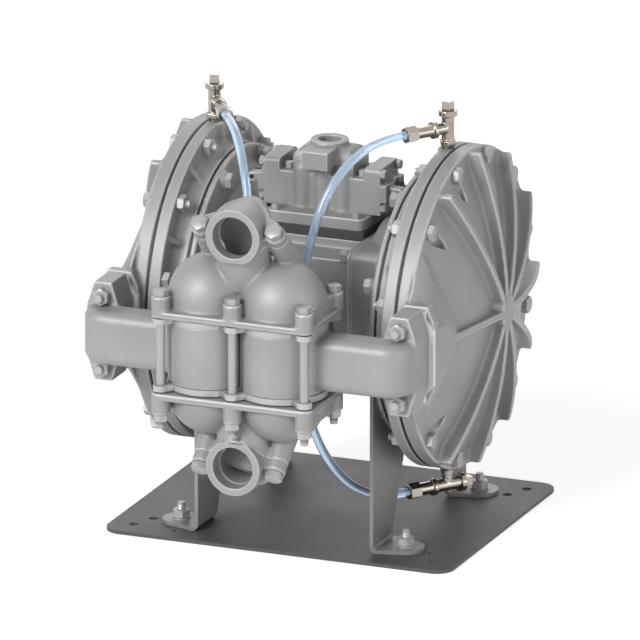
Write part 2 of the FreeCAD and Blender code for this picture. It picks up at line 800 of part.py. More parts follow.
def rim_nuts():
    """Nuts on the back of the inner rim, with the bolt's end standing out of each."""
    x_back, _, _, _ = rim_faces()
    nuts = []
    for angle in ring_angles(RIM_BOLTS):
        seat = around_shaft(x_back, RIM_BOLT_CIRCLE_R, angle)
        body = hexagon(RIM_BOLT_AF, seat, -X_AXIS, RIM_NUT, 30 - angle)
        end = cylinder(RIM_STUD_R, seat - X_AXIS * RIM_NUT, -X_AXIS, RIM_STUD_END)
        nuts.append(fuse(body, end))
    return both_sides(nuts)


def driver_bolts():
    x = DRIVER_SEAM_X - AIR_FLANGE_T - LEG_THICKNESS
    heads = []
    for angle in ring_angles(DRIVER_BOLTS):
        seat = around_shaft(x, DRIVER_BOLT_CIRCLE_R, angle)
        heads.append(hexagon(DRIVER_BOLT_AF, seat, -X_AXIS, DRIVER_BOLT_HEAD, 30 - angle))
    return both_sides(heads)


def chamber_plugs():
    seat = around_shaft(PLUG_SEAT_X, PLUG_R, PLUG_ANGLE)
    return both_sides([bolt(PLUG_AF, PLUG_HEAD, PLUG_SHANK_R, PLUG_SHANK, seat, X_AXIS)])


# Centre body, rod and pilot valve


def center_body():
    """Block between the air chambers, with a square flange each way and the valve's seat on top."""
    z0 = SHAFT_Z + BODY_BOTTOM_DZ
    top_z = BODY_TOP_Z - BODY_TOP_T
    core = box(-BODY_X, BODY_X, -BODY_Y, BODY_Y, z0, top_z)
    top = box(-VALVE_BASE_X, VALVE_BASE_X, -BODY_TOP_Y, BODY_TOP_Y, top_z, BODY_TOP_Z)
    flange = square_block(BODY_X, AIR_BLOCK_X)
    exhaust = cylinder(EXHAUST_R, V(0, BODY_Y - 1, SHAFT_Z + EXHAUST_DZ), Y_AXIS, EXHAUST_Y - BODY_Y + 1)
    solid = fuse(core, top, flange, mirrored(flange), exhaust)
    bushing_bore = cylinder(BUSHING_R, V(-AIR_BLOCK_X - 1, 0, SHAFT_Z), X_AXIS, 2 * AIR_BLOCK_X + 2)
    plunger_start = V(-AIR_BLOCK_X - 1, 0, SHAFT_Z + PILOT_DZ)
    plunger_bore = cylinder(PLUNGER_R + ROD_FIT, plunger_start, X_AXIS, 2 * AIR_BLOCK_X + 2)
    exhaust_start = V(0, EXHAUST_Y - EXHAUST_DEPTH, SHAFT_Z + EXHAUST_DZ)
    exhaust_bore = cylinder(EXHAUST_BORE_R, exhaust_start, Y_AXIS, EXHAUST_DEPTH + 1)
    return solid.cut([bushing_bore, pilot_block(), plunger_bore, exhaust_bore])


def body_bolts():
    """Bolts at the corners of the square flanges, heads towards the middle."""
    heads = []
    for y in (-BODY_BOLT_Y, BODY_BOLT_Y):
        for dz in (-BODY_BOLT_DZ, BODY_BOLT_DZ):
            heads.append(hexagon(BODY_BOLT_AF, V(BODY_X, y, SHAFT_Z + dz), -X_AXIS, BODY_BOLT_HEAD))
    return both_sides(heads)


def rod_bushings():
    x0 = AIR_BLOCK_X - BUSHING_LENGTH
    ring = washer(BUSHING_R, ROD_R + ROD_FIT, BUSHING_LENGTH, V(x0, 0, SHAFT_Z), X_AXIS)
    return both_sides([ring])


def diaphragm_rod():
    return cylinder(ROD_R, V(-ROD_END_X, 0, SHAFT_Z), X_AXIS, 2 * ROD_END_X)


def inner_plate():
    x = DRIVER_SEAM_X
    return turned(
        [
            (x, ROD_R),
            (x, PLATE_R),
            (x - PLATE_T * 0.5, PLATE_R),
            (x - PLATE_T, PLATE_R - 12),
            (x - PLATE_T, ROD_R),
        ]
    )


def outer_plate():
    x = DRIVER_SEAM_X + DIAPHRAGM_T
    return turned(
        [
            (x, ROD_R),
            (x, PLATE_R),
            (x + PLATE_T * 0.4, PLATE_R),
            (x + PLATE_T, PLATE_HUB_R),
            (x + PLATE_T, ROD_R),
        ]
    )


def pilot_block():
    length, width, height = PILOT_BODY
    z0 = SHAFT_Z + PILOT_DZ - height / 2
    return box(-length / 2, length / 2, -width / 2, width / 2, z0, z0 + height)


def pilot_body():
    length = PILOT_BODY[0]
    start = V(-length / 2 - 1, 0, SHAFT_Z + PILOT_DZ)
    return pilot_block().cut(cylinder(PILOT_R + ROD_FIT, start, X_AXIS, length + 2))


def pilot_spool():
    """Three lands on a thin stem, as long as the pilot block less its travel."""
    z = SHAFT_Z + PILOT_DZ
    half = PILOT_BODY[0] / 2 - PILOT_TRAVEL_ROOM
    starts = (-half, -PILOT_LAND / 2, half - PILOT_LAND)
    lands = [cylinder(PILOT_R, V(x, 0, z), X_AXIS, PILOT_LAND) for x in starts]
    return fuse(cylinder(PLUNGER_R, V(-half, 0, z), X_AXIS, 2 * half), *lands)


def pilot_plungers():
    z = SHAFT_Z + PILOT_DZ
    x0 = PILOT_BODY[0] / 2 - PILOT_TRAVEL_ROOM
    return both_sides([cylinder(PLUNGER_R, V(x0, 0, z), X_AXIS, PILOT_REACH_X - x0)])


# Air distribution valve


def valve_gasket():
    return box(-VALVE_BASE_X, VALVE_BASE_X, -VALVE_BASE_Y, VALVE_BASE_Y, BODY_TOP_Z, GASKET_Z)


def valve_body():
    """Flanged block with a bore for the sleeve, a rounded turret and the air inlet on top."""
    z0 = GASKET_Z
    z1 = z0 + VALVE_BASE_T
    base = box(-VALVE_BASE_X, VALVE_BASE_X, -VALVE_BASE_Y, VALVE_BASE_Y, z0, z1)
    base = base.makeFillet(VALVE_BASE_CORNER_R, [e for e in base.Edges if abs(e.tangentAt(0).z) > 0.9])
    block = box(-VALVE_X, VALVE_X, -VALVE_Y, VALVE_Y, z1, VALVE_BLOCK_Z)
    turret = box(-TURRET_X, TURRET_X, -TURRET_Y, TURRET_Y, z1, TURRET_Z)
    turret = turret.makeFillet(TURRET_ROUND, [e for e in turret.Edges if e.CenterOfMass.z > TURRET_Z - 1])
    inlet = cylinder(INLET_R, V(0, INLET_Y, VALVE_TOP_Z), Z_AXIS, INLET_TOP_Z - VALVE_TOP_Z)
    pad = box(-NAME_PAD_X, NAME_PAD_X, -VALVE_BASE_Y, INLET_Y, NAME_PAD_Z[0], NAME_PAD_Z[1])
    columns = []
    for x in FRONT_COLUMNS:
        start = V(x, FRONT_COLUMN_Y, z1 - 1)
        top = V(x, FRONT_COLUMN_Y, VALVE_BLOCK_Z + FRONT_COLUMN_DZ)
        columns.append(cylinder(FRONT_COLUMN_R, start, Z_AXIS, top.z - start.z))
        columns.append(Part.makeSphere(FRONT_COLUMN_R, top))
    bore = cylinder(SLEEVE_R, V(-VALVE_X - 1, 0, VALVE_BORE_Z), X_AXIS, 2 * VALVE_X + 2)
    inlet_bore = cylinder(INLET_BORE_R, V(0, INLET_Y, INLET_TOP_Z - INLET_DEPTH), Z_AXIS, INLET_DEPTH + 1)
    return fuse(base, block, turret, inlet, pad, *columns).cut([bore, inlet_bore])


def valve_cap():
    """Stepped end cap with a blind bore for the spool's end, a band, a nose and a lug for a clip."""
    z0 = GASKET_Z + VALVE_BASE_T
    x0 = VALVE_X
    x1 = VALVE_CAP_X
    foot = box(x0, x1, -VALVE_Y, VALVE_Y, z0, VALVE_BLOCK_Z)
    end = box(x1 - CAP_PLATE_T, x1, -VALVE_Y, VALVE_Y, z0, CAP_TOP_Z)
    ends_at_top = [e for e in end.Edges if e.CenterOfMass.z > CAP_TOP_Z - 1 and e.Length < VALVE_Y]
    end = end.makeFillet(CAP_EDGE_R, ends_at_top)
    band_z = (VALVE_BORE_Z - CAP_BAND_DZ, VALVE_BORE_Z + CAP_BAND_DZ)
    band = box(x1 - 1, x1 + CAP_BAND_T, -VALVE_Y, VALVE_Y, band_z[0], band_z[1])
    nose = cylinder(CAP_NOSE_R, V(x1 - 1, 0, VALVE_BORE_Z), X_AXIS, CAP_NOSE + 1)
    r = END_LUG_R
    start = V(END_LUG_X, END_LUG_Y - r, END_LUG_Z)
    lug = box(x1 - 1, END_LUG_X, start.y, END_LUG_Y + r, END_LUG_Z - r, END_LUG_Z + r)
    lug_end = cylinder(r, start, Y_AXIS, 2 * r)
    lug_hole = cylinder(END_LUG_HOLE_R, start - Y_AXIS, Y_AXIS, 2 * r + 2)
    recess = cylinder(SPOOL_R + RUN_GAP, V(x0 - 1, 0, VALVE_BORE_Z), X_AXIS, CAP_RECESS + 1)
    return fuse(foot, end, band, nose, lug, lug_end).cut([lug_hole, recess])


def valve_bumpers():
    """Round plunger in each cap's nose, held by a bent clip."""
    start = V(VALVE_CAP_X + CAP_NOSE, BUMPER_Y, VALVE_BORE_Z)
    disc = cylinder(BUMPER_R, start, X_AXIS, BUMPER_T)
    stem = cylinder(BUMPER_R / 2, start + X_AXIS * (BUMPER_T - 1), X_AXIS, BUMPER_STEM + 1)
    clip_way = V(0, 1, -0.3).normalize()
    middle = start + X_AXIS * (BUMPER_T + BUMPER_STEM / 2)
    clip = cylinder(CLIP_R, middle - clip_way * CLIP_HALF, clip_way, 2 * CLIP_HALF)
    return both_sides([fuse(disc, stem, clip)])


def valve_screws():
    z = GASKET_Z + VALVE_BASE_T
    heads = []
    for (x, y), seat_z in ((VALVE_SCREW_XY, z), (STEP_SCREW_XY, VALVE_BLOCK_Z)):
        for sy in (-1, 1):
            heads.append(hexagon(VALVE_SCREW_AF, V(x, sy * y, seat_z), Z_AXIS, VALVE_SCREW_HEAD))
    return both_sides(heads)


def cap_screws():
    y, dz = CAP_SCREW_YZ
    middle = (GASKET_Z + VALVE_BASE_T + VALVE_TOP_Z) / 2
    heads = []
    for sy in (-1, 1):
        for sz in (-1, 1):
            seat = V(VALVE_CAP_X, sy * y, middle + sz * dz)
            heads.append(hexagon(CAP_SCREW_AF, seat, X_AXIS, CAP_SCREW_HEAD))
    return both_sides(heads)


def valve_sleeve():
    return washer(SLEEVE_R, SPOOL_R + ROD_FIT, 2 * VALVE_X, V(-VALVE_X, 0, VALVE_BORE_Z), X_AXIS)


def valve_spool():
    half = SPOOL_HALF
    land = SPOOL_LAND
    starts = (-half, -half / 2 - land / 2, -land / 2, half / 2 - land / 2, half - land)
    lands = [cylinder(SPOOL_R, V(x, 0, VALVE_BORE_Z), X_AXIS, land) for x in starts]
    return fuse(cylinder(SPOOL_STEM_R, V(-half, 0, VALVE_BORE_Z), X_AXIS, 2 * half), *lands)


# Valve columns, manifolds and ports


def column_axis(z):
    return V(COLUMN_X, COLUMN_Y, z)


def arm_face(inset, z):
    """Plan view of the arm: from the column to the corner, then back to the chamber."""
    front = ARM_FRONT_Y + inset
    back = ARM_BACK_Y - inset
    right = PORT_AXIS_X + ARM_HALF_X - inset
    left = PORT_AXIS_X - ARM_HALF_X + inset
    corner = ARM_CORNER_R - inset
    slant = corner * (1 - math.sqrt(0.5))
    end_y = FLANGE_Y + (1 if inset else 0)
    return outline(
        V(COLUMN_X, front, z),
        V(right - corner, front, z),
        (V(right - slant, front + slant, z), V(right, front + corner, z)),
        V(right, end_y, z),
        V(left, end_y, z),
        V(left, back, z),
        V(COLUMN_X, back, z),
    )


def rounded_prism(face, height, radius):
    solid = face.extrude(Z_AXIS * height)
    long_edges = []
    for e in solid.Edges:
        level = e.BoundBox.ZLength < 1e-6
        at_ends = e.BoundBox.XLength < 1e-6 and e.CenterOfMass.x < COLUMN_X + 1
        at_flange = e.BoundBox.YLength < 1e-6 and e.CenterOfMass.y > FLANGE_Y - 1
        if level and not at_ends and not at_flange:
            long_edges.append(e)
    return solid.makeFillet(radius, long_edges)


def side_bolt_points(y):
    return [V(PORT_AXIS_X, y, SHAFT_Z + dz) for dz in (-SIDE_BOLT_DZ, SIDE_BOLT_DZ)]


def flange_outline(y, half_x, shoulder_dz, tip_half_x, tip_dz):
    """Six or eight sided outline about the side port's axis, seen along Y."""
    corners = [(half_x, shoulder_dz), (tip_half_x, tip_dz), (-tip_half_x, tip_dz), (-half_x, shoulder_dz)]
    corners += [(-x, -dz) for x, dz in corners]
    return [V(PORT_AXIS_X + x, y, SHAFT_Z + dz) for x, dz in corners]


def valve_elbow():
    """Round valve column with an arm that turns back to the side port's flange."""
    z0 = LOWER_SEAT_Z[1]
    z1 = UPPER_SEAT_Z[0]
    column = cylinder(COLUMN_R, column_axis(z0), Z_AXIS, z1 - z0)
    y0 = COLUMN_Y - COLUMN_R
    y1 = COLUMN_Y + COLUMN_R
    column = column.common(box(COLUMN_GAP, COLUMN_X + COLUMN_R, y0, y1, z0, z1))
    arm = rounded_prism(arm_face(0, SHAFT_Z - ARM_DZ), 2 * ARM_DZ, ARM_ROUND)
    lug_shape = flange_outline(LUG_BACK_Y, ARM_HALF_X, ARM_DZ, LUG_HALF_X, LUG_DZ)
    lug = plate(lug_shape, Y_AXIS * (FLANGE_Y - LUG_BACK_Y))
    inner_dz = ARM_DZ - ARM_WALL
    passage = rounded_prism(arm_face(ARM_WALL, SHAFT_Z - inner_dz), 2 * inner_dz, ARM_ROUND - 3)
    passage = passage.common(box(0, PORT_AXIS_X * 2, ARM_FRONT_Y, FLANGE_Y - 8, 0, 2 * SHAFT_Z))
    mouth = cylinder(SIDE_BORE_R, V(PORT_AXIS_X, FLANGE_Y - 10, SHAFT_Z), Y_AXIS, 12)
    bore = cylinder(COLUMN_BORE_R, column_axis(z0 - 1), Z_AXIS, z1 - z0 + 2)
    lug_depth = FLANGE_Y - LUG_BACK_Y + 2
    bolt_points = side_bolt_points(LUG_BACK_Y - 1)
    bolt_holes = [cylinder(SIDE_STUD_R + RUN_GAP, at, Y_AXIS, lug_depth) for at in bolt_points]
    solid = fuse(column, arm, lug).cut([bore, passage, mouth] + bolt_holes)
    return fuse(solid, *ball_guides(z0, z1, COLUMN_BORE_R, 1), *ball_stops(z0))


def ball_ribs(inner_r, bore_r, z0, z1, side):
    """Three radial ribs on a bore's wall, on the side away from the arm."""
    ribs = []
    for angle in GUIDE_ANGLES:
        rib = box(inner_r, bore_r + 2, -GUIDE_T / 2, GUIDE_T / 2, z0, z1)
        rib.rotate(V(0, 0, 0), Z_AXIS, angle if side > 0 else 180 - angle)
        rib.translate(V(side * COLUMN_X, COLUMN_Y, 0))
        ribs.append(rib)
    return ribs


def ball_guides(z0, z1, bore_r, side):
    """Ribs that keep a ball on the seat's axis as it lifts."""
    return ball_ribs(BALL_R + BALL_GUIDE_GAP, bore_r, z0, z1, side)


def ball_stops(seat_top):
    """Toes on the guides that stop the ball's lift."""
    top = ball_height(seat_top) + BALL_LIFT + math.sqrt(BALL_R**2 - BALL_STOP_R**2)
    z0 = top + BALL_STOP_GAP
    return ball_ribs(BALL_STOP_R, COLUMN_BORE_R, z0, z0 + BALL_STOP_T, 1)


def tie_points(z):
    return [V(x, y, z) for x in (-TIE_X, 0.0, TIE_X) for y in (TIE_FRONT_Y, TIE_BACK_Y)]


def tie_holes(z0, z1):
    return [cylinder(TIE_HOLE_R, at, Z_AXIS, z1 - z0 + 2) for at in tie_points(z0 - 1)]


def column_bores(radius, z0, z1):
    """Cuts through a plate on the axis of both columns."""
    return [cylinder(radius, V(s * COLUMN_X, COLUMN_Y, z0 - 1), Z_AXIS, z1 - z0 + 2) for s in (-1, 1)]


def manifold_plan(z, thickness, margin):
    """Rounded rectangle through the tie bolt bosses."""
    x = TIE_X + margin
    y0 = TIE_FRONT_Y - margin
    y1 = TIE_BACK_Y + margin
    slab = box(-x, x, y0, y1, z, z + thickness)
    return slab.makeFillet(margin, [e for e in slab.Edges if abs(e.tangentAt(0).z) > 0.9])


def seat_plan(z, thickness, margin):
    """Disc over each column, with an ear round every tie bolt."""
    ear_r = SEAT_EAR_R - margin
    solids = []
    for s in (-1, 1):
        middle = V(s * COLUMN_X, COLUMN_Y, z)
        solids.append(cylinder(SEAT_DISC_R - margin, middle, Z_AXIS, thickness))
        for at in tie_points(z):
            if s * at.x > -1:
                side = (at - middle).cross(Z_AXIS).normalize() * (ear_r - 0.6)
                strip = [middle - side, at - side, at + side, middle + side]
                solids.append(plate(strip, Z_AXIS * thickness))
                solids.append(cylinder(ear_r, at, Z_AXIS, thickness))
    return fuse(*solids)


def seat_plates():
    """The two plates between the columns and the manifolds, with a seat pocket over each bore."""
    plates = []
    for z0, z1 in (UPPER_SEAT_Z, LOWER_SEAT_Z):
        slab = seat_plan(z0, z1 - z0, 0.0)
        plates.append(slab.cut(column_bores(SEAT_R, z0, z1) + tie_holes(z0, z1)))
    return plates


def valve_seats():
    """Four rings with a cone that the ball rests on."""
    rings = []
    for z0, z1 in (UPPER_SEAT_Z, LOWER_SEAT_Z):
        ring = washer(SEAT_R, SEAT_BORE_R, z1 - z0, column_axis(z0), Z_AXIS)
        rest = Part.makeSphere(BALL_R + RUN_GAP, V(COLUMN_X, COLUMN_Y, ball_height(z1)))
        rings.append(ring.cut(rest))
    return both_sides(rings)


def ball_height(seat_top):
    """Height of a ball's centre when it rests on the edge of a seat's bore."""
    return seat_top - 1.5 + math.sqrt(BALL_R**2 - SEAT_BORE_R**2)


def ball(seat_top, side):
    return Part.makeSphere(BALL_R, V(side * COLUMN_X, COLUMN_Y, ball_height(seat_top)))


def manifold_gaskets():
    sheets = []
    for z in (UPPER_SEAT_Z[1], LOWER_SEAT_Z[0] - MANIFOLD_GASKET_T):
        slab = seat_plan(z, MANIFOLD_GASKET_T, 1.2)
        top = z + MANIFOLD_GASKET_T
        sheets.append(slab.cut(column_bores(DOME_BORE_R, z, top) + tie_holes(z, top)))
    return sheets


def port_frame(port_z, up):
    """Middle of the inclined port seat, and the seat's normal towards the front."""
    normal = V(0, -math.sqrt(0.5), up * math.sqrt(0.5))
    return V(0, PORT_SEAT_Y, port_z), normal


def manifold(face_z, boss_z, dome_z, port_z, up):
    """Twin domes on a flange, with bolt bosses, side walls and a neck to the inclined port seat."""
    flange_z = min(face_z, face_z + up * MANIFOLD_FLANGE_T)
    slab = manifold_plan(flange_z, MANIFOLD_FLANGE_T, TIE_BOSS_R)
    solids = []
    for s in (-1, 1):
        start = V(s * COLUMN_X, COLUMN_Y, face_z)
        solids.append(cylinder(COLUMN_R, start, Z_AXIS * up, abs(dome_z - face_z)))
        solids.append(Part.makeSphere(COLUMN_R, V(s * COLUMN_X, COLUMN_Y, dome_z)))
        z_low, z_high = sorted((face_z, boss_z))
        x0, x1 = sorted((s * (TIE_X - SIDE_WALL_T / 2), s * (TIE_X + SIDE_WALL_T / 2)))
        solids.append(box(x0, x1, TIE_FRONT_Y, TIE_BACK_Y, z_low, z_high))
        x0, x1 = sorted((s * COLUMN_X, s * TIE_X))
        y0 = COLUMN_Y - SIDE_BLOCK_HALF_Y
        solids.append(box(x0, x1, y0, COLUMN_Y + SIDE_BLOCK_HALF_Y, z_low, z_high))
    for at in tie_points(face_z):
        solids.append(cylinder(TIE_BOSS_R, at, Z_AXIS * up, abs(boss_z - face_z)))
    seat, normal = port_frame(port_z, up)
    root = V(0, COLUMN_Y, dome_z + up * NECK_ROOT_DZ)
    solids.append(neck_loft(seat, normal, NECK_R, root, up, NECK_ROOT_R))
    solids.append(cylinder(PORT_FLANGE_R, seat, -normal, PORT_PAD_T))
    solids.append(front_web(face_z, root.z, up))
    for s in (-1, 1):
        lug_seat = seat + V(s * PORT_LUG_X, 0, 0) + port_lug_shift(up)
        reach = lug_seat.distanceToPoint(V(lug_seat.x, COLUMN_Y, dome_z)) - COLUMN_R / 3
        solids.append(Part.makeCone(PORT_LUG_R, PORT_LUG_R + PORT_LUG_TAPER, reach, lug_seat, -normal))
        solids.append(plate(port_web(seat, normal, s), -normal * PORT_PAD_T))
    solid = fuse(slab, *solids)
    half = TIE_X + COLUMN_R
    z_low, z_high = sorted((face_z, face_z + up * SHAFT_Z))
    solid = solid.common(box(-half, half, COLUMN_Y - half, COLUMN_Y + half, z_low, z_high))
    cuts = []
    for s in (-1, 1):
        start = V(s * COLUMN_X, COLUMN_Y, face_z - up)
        cuts.append(cylinder(DOME_BORE_R, start, Z_AXIS * up, abs(dome_z - face_z) + 1))
        roof = V(s * COLUMN_X, COLUMN_Y, dome_z)
        cuts.append(Part.makeCone(DOME_BORE_R, DOME_ROOF_R, DOME_ROOF_DZ, roof, Z_AXIS * up))
    cuts.append(cylinder(CROSS_BORE_R, V(-COLUMN_X, COLUMN_Y, root.z), X_AXIS, 2 * COLUMN_X))
    cuts.append(neck_loft(seat + normal, normal, NECK_BORE_R, root, up, CROSS_BORE_R - 1))
    cuts += tie_holes(min(face_z, boss_z), max(face_z, boss_z))
    for at in tie_points(boss_z):
        cuts.append(cylinder(TIE_SEAT_R, at, Z_AXIS * up, 2 * TIE_SEAT_R))
    pocket_start = V(0, PORT_FACE_Y, port_z)
    cuts.append(cylinder(SPIGOT_R + RUN_GAP, pocket_start, Y_AXIS, PORT_THREAD + RUN_GAP))
    solid = solid.cut(cuts)
    if up > 0:
        guide_top = dome_z + DOME_ROOF_DZ / 2
        for s in (-1, 1):
            solid = fuse(solid, *ball_guides(face_z, guide_top, DOME_BORE_R, s))
    return solid


def neck_loft(seat, normal, seat_r, root, up, root_r):
    """Solid that blends a circle in the inclined seat into a level circle between the domes."""
    mouth = Part.Wire(Part.makeCircle(seat_r, seat, normal))
    throat = Part.Wire(Part.makeCircle(root_r, root, Z_AXIS * up))
    return Part.makeLoft([mouth, throat], True)


def front_web(face_z, root_z, up):
    """Tapered web that fills the valley between the domes, under the port."""
    z0 = face_z + up * MANIFOLD_FLANGE_T
    z1 = z0 + up * WEB_HEIGHT
    foot = [V(-WEB_FOOT, WEB_Y, z0), V(WEB_FOOT, WEB_Y, z0)]
    head = [V(WEB_HEAD, WEB_Y, z1), V(-WEB_HEAD, WEB_Y, z1)]
    return plate(foot + head, Y_AXIS * (COLUMN_Y - WEB_Y))


def port_lug_shift(up):
    """The flange bolts sit a little towards the front and outside of the port's axis."""
    return V(0, -PORT_BOLT_OFFSET, -up * PORT_BOLT_OFFSET)


def port_web(seat, normal, side):
    """Outline of the flange's taper from the neck to a bolt lug, in the seat's plane."""
    across = normal.cross(X_AXIS)
    far = seat + V(side * PORT_LUG_X, 0, 0)
    return [
        seat + across * (PORT_FLANGE_R - 6),
        far + across * (PORT_LUG_R - 2),
        far - across * (PORT_LUG_R - 2),
        seat - across * (PORT_FLANGE_R - 6),
    ]


def port_elbow(port_z, up):
    """Threaded port with a level axis on an inclined two-bolt flange, and a spigot behind it."""
    seat, normal = port_frame(port_z, up)
    face = V(0, PORT_FACE_Y, port_z)
    flange = cylinder(PORT_FLANGE_R, seat, normal, PORT_FLANGE_T)
    half = PORT_FLANGE_R + 1
    flange = flange.common(box(-half, half, PORT_FACE_Y + PORT_SETBACK, 0, 0, 2 * SHAFT_Z))
    solids = []
    for s in (-1, 1):
        at = seat + V(s * PORT_LUG_X, 0, 0) + port_lug_shift(up)
        solids.append(cylinder(PORT_LUG_R, at, normal, PORT_FLANGE_T))
        solids.append(plate(port_web(seat, normal, s), normal * PORT_FLANGE_T))
    reach = PORT_SEAT_Y - PORT_FACE_Y + 2 * PORT_R
    barrel = cylinder(PORT_R, face, Y_AXIS, reach)
    above = cylinder(reach, seat, normal, reach)
    spigot = cylinder(SPIGOT_R, face, Y_AXIS, PORT_THREAD)
    solid = fuse(flange, barrel.common(above), spigot, *solids)
    bore = cylinder(PORT_BORE_R, face - Y_AXIS, Y_AXIS, PORT_THREAD + 1)
    return solid.cut([bore, cylinder(PORT_THROAT_R, face, Y_AXIS, reach)])


def port_bolts():
    heads = []
    for port_z, up in ((DISCHARGE_Z, 1), (SUCTION_Z, -1)):
        seat, normal = port_frame(port_z, up)
        at = seat + V(PORT_LUG_X, 0, 0) + port_lug_shift(up) + normal * PORT_FLANGE_T
        heads.append(washer(PORT_LUG_R - 0.5, 4.0, WASHER_T, at, normal))
        heads.append(hexagon(PORT_BOLT_AF, at + normal * WASHER_T, normal, PORT_BOLT_HEAD, 0))
    return both_sides(heads)


def tie_bolts():
    length = UPPER_BOSS_Z - LOWER_BOSS_Z + TIE_NUT + TIE_STUD_END
    return [bolt(TIE_AF, TIE_HEAD, TIE_R, length, at, Z_AXIS, TIE_TURN) for at in tie_points(UPPER_BOSS_Z)]


def tie_nuts():
    return [nut(TIE_AF, TIE_NUT, TIE_R, at, -Z_AXIS, TIE_TURN) for at in tie_points(LOWER_BOSS_Z)]


def port_gaskets():
    """Gasket between the arm's flange and the chamber, wider than the flange."""
    half = GASKET_HALF_X
    low = GASKET_SHOULDER_DZ
    tip = GASKET_TIP_X
    high = GASKET_TIP_DZ
    top = GASKET_END_R
    side_top = math.sqrt(top**2 - tip**2)
    def at(x, dz):
        return V(PORT_AXIS_X + x, FLANGE_Y, SHAFT_Z + dz)

    face = outline(
        at(half, -low),
        at(half, low),
        at(tip, high),
        at(tip, side_top),
        (at(0, top), at(-tip, side_top)),
        at(-tip, high),
        at(-half, low),
        at(-half, -low),
        at(-tip, -high),
        at(-tip, -side_top),
        (at(0, -top), at(tip, -side_top)),
        at(tip, -high),
    )
    sheet = face.extrude(Y_AXIS * SIDE_GASKET_T)
    through = SIDE_GASKET_T + 2
    holes = [cylinder(SIDE_STUD_R + RUN_GAP, p, Y_AXIS, through) for p in side_bolt_points(FLANGE_Y - 1)]
    bore = cylinder(SIDE_BORE_R, V(PORT_AXIS_X, FLANGE_Y - 1, SHAFT_Z), Y_AXIS, through)
    return both_sides([sheet.cut(holes + [bore])])


def side_studs():
    """Stud into the chamber's port block and a nut on the arm's lug, twice a side."""
    pieces = []
    for at in side_bolt_points(LUG_BACK_Y):
        start = at - Y_AXIS * (SIDE_STUD_END + RIM_NUT)
        length = SIDE_GASKET_Y + PORT_PLATE_T - start.y
        pieces.append(cylinder(SIDE_STUD_R, start, Y_AXIS, length))
        pieces.append(nut(SIDE_BOLT_AF, RIM_NUT, SIDE_STUD_R, at, -Y_AXIS, 0))
    return both_sides(pieces)


# Sight tubes and fittings


def tee_point(distance, z):
    """Point in the tube's plane, a distance from the right tee's axis."""
    dx, dy = TEE_DIRECTION
    return V(TEE_X + dx * distance, dy * distance, z)


def tee_way():
    return V(TEE_DIRECTION[0], TEE_DIRECTION[1], 0).normalize()


def upper_tee():
    base_z = SHAFT_Z + RIM_R
    stem = cylinder(TEE_R, tee_point(0, base_z), Z_AXIS, TEE_TOP_Z - base_z)
    collar = hexagon(TEE_HEX_AF, tee_point(0, base_z + 4), Z_AXIS, TEE_HEX_T)
    rim = cylinder(TEE_COLLAR_R, tee_point(0, TEE_TOP_Z - TEE_RIM_T), Z_AXIS, TEE_RIM_T)
    branch = cylinder(TEE_BRANCH_R, tee_point(0, TEE_UPPER_Z), tee_way(), UPPER_EXIT - TEE_NUT_LENGTH)
    return fuse(stem, collar, rim, branch, branch_collar(TEE_UPPER_Z))


def branch_collar(z):
    return cylinder(TEE_COLLAR_R - 1, tee_point(TEE_BRANCH, z), tee_way(), TEE_HEX_T)


def lower_tee():
    base_z = SHAFT_Z - RIM_R
    stem = cylinder(TEE_BRANCH_R, tee_point(0, TEE_LOWER_Z), Z_AXIS, base_z - TEE_LOWER_Z)
    collar = hexagon(TEE_HEX_AF, tee_point(0, base_z - 4 - TEE_HEX_T), Z_AXIS, TEE_HEX_T)
    reach = LOWER_PLUG_REACH - TEE_PLUG_HEIGHT
    run = cylinder(TEE_R, tee_point(-reach, TEE_LOWER_Z), tee_way(), LOWER_EXIT - TEE_NUT_LENGTH + reach)
    rim = cylinder(TEE_COLLAR_R, tee_point(-reach, TEE_LOWER_Z), tee_way(), TEE_RIM_T)
    return fuse(stem, collar, run, rim, branch_collar(TEE_LOWER_Z))


def sight_tees():
    return both_sides([upper_tee(), lower_tee()])


def tee_plugs():
    side = TEE_PLUG_AF * math.sqrt(2)
    top = polygon_bar(4, side, tee_point(0, TEE_TOP_Z), Z_AXIS, TEE_PLUG_HEIGHT, 30)
    start = tee_point(-(LOWER_PLUG_REACH - TEE_PLUG_HEIGHT), TEE_LOWER_Z)
    end = polygon_bar(4, side, start, -tee_way(), TEE_PLUG_HEIGHT, 45)
    return both_sides([top, end])


def compression_nuts():
    nuts = []
    for distance, z in ((UPPER_EXIT, TEE_UPPER_Z), (LOWER_EXIT, TEE_LOWER_Z)):
        nuts.append(hexagon(TEE_NUT_AF, tee_point(distance - TEE_NUT_LENGTH, z), tee_way(), TEE_NUT_LENGTH))
    return both_sides(nuts)


def tube_path(points):
    """Straight runs joined by tangent arcs as large as the two runs allow. Prints each radius."""
    edges = []
    radii = []
    here = points[0]
    for before, corner, after in zip(points, points[1:], points[2:]):
        back = (before - corner).normalize()
        ahead = (after - corner).normalize()
        half_turn = (math.pi - back.getAngle(ahead)) / 2
        shorter = min(corner.distanceToPoint(before), corner.distanceToPoint(after))
        radius = 0.45 * shorter / math.tan(half_turn)
        radii.append(radius)
        tangent = 0.45 * shorter
        start = corner + back * tangent
        end = corner + ahead * tangent
        inward = (back + ahead).normalize()
        via = corner + inward * (radius / math.cos(half_turn) - radius)
        edges.append(Part.LineSegment(here, start).toShape())
        edges.append(Part.Arc(start, via, end).toShape())
        here = end
    edges.append(Part.LineSegment(here, points[-1]).toShape())
    print("sight tube radii", [round(r, 1) for r in radii])
    return Part.Wire(edges)


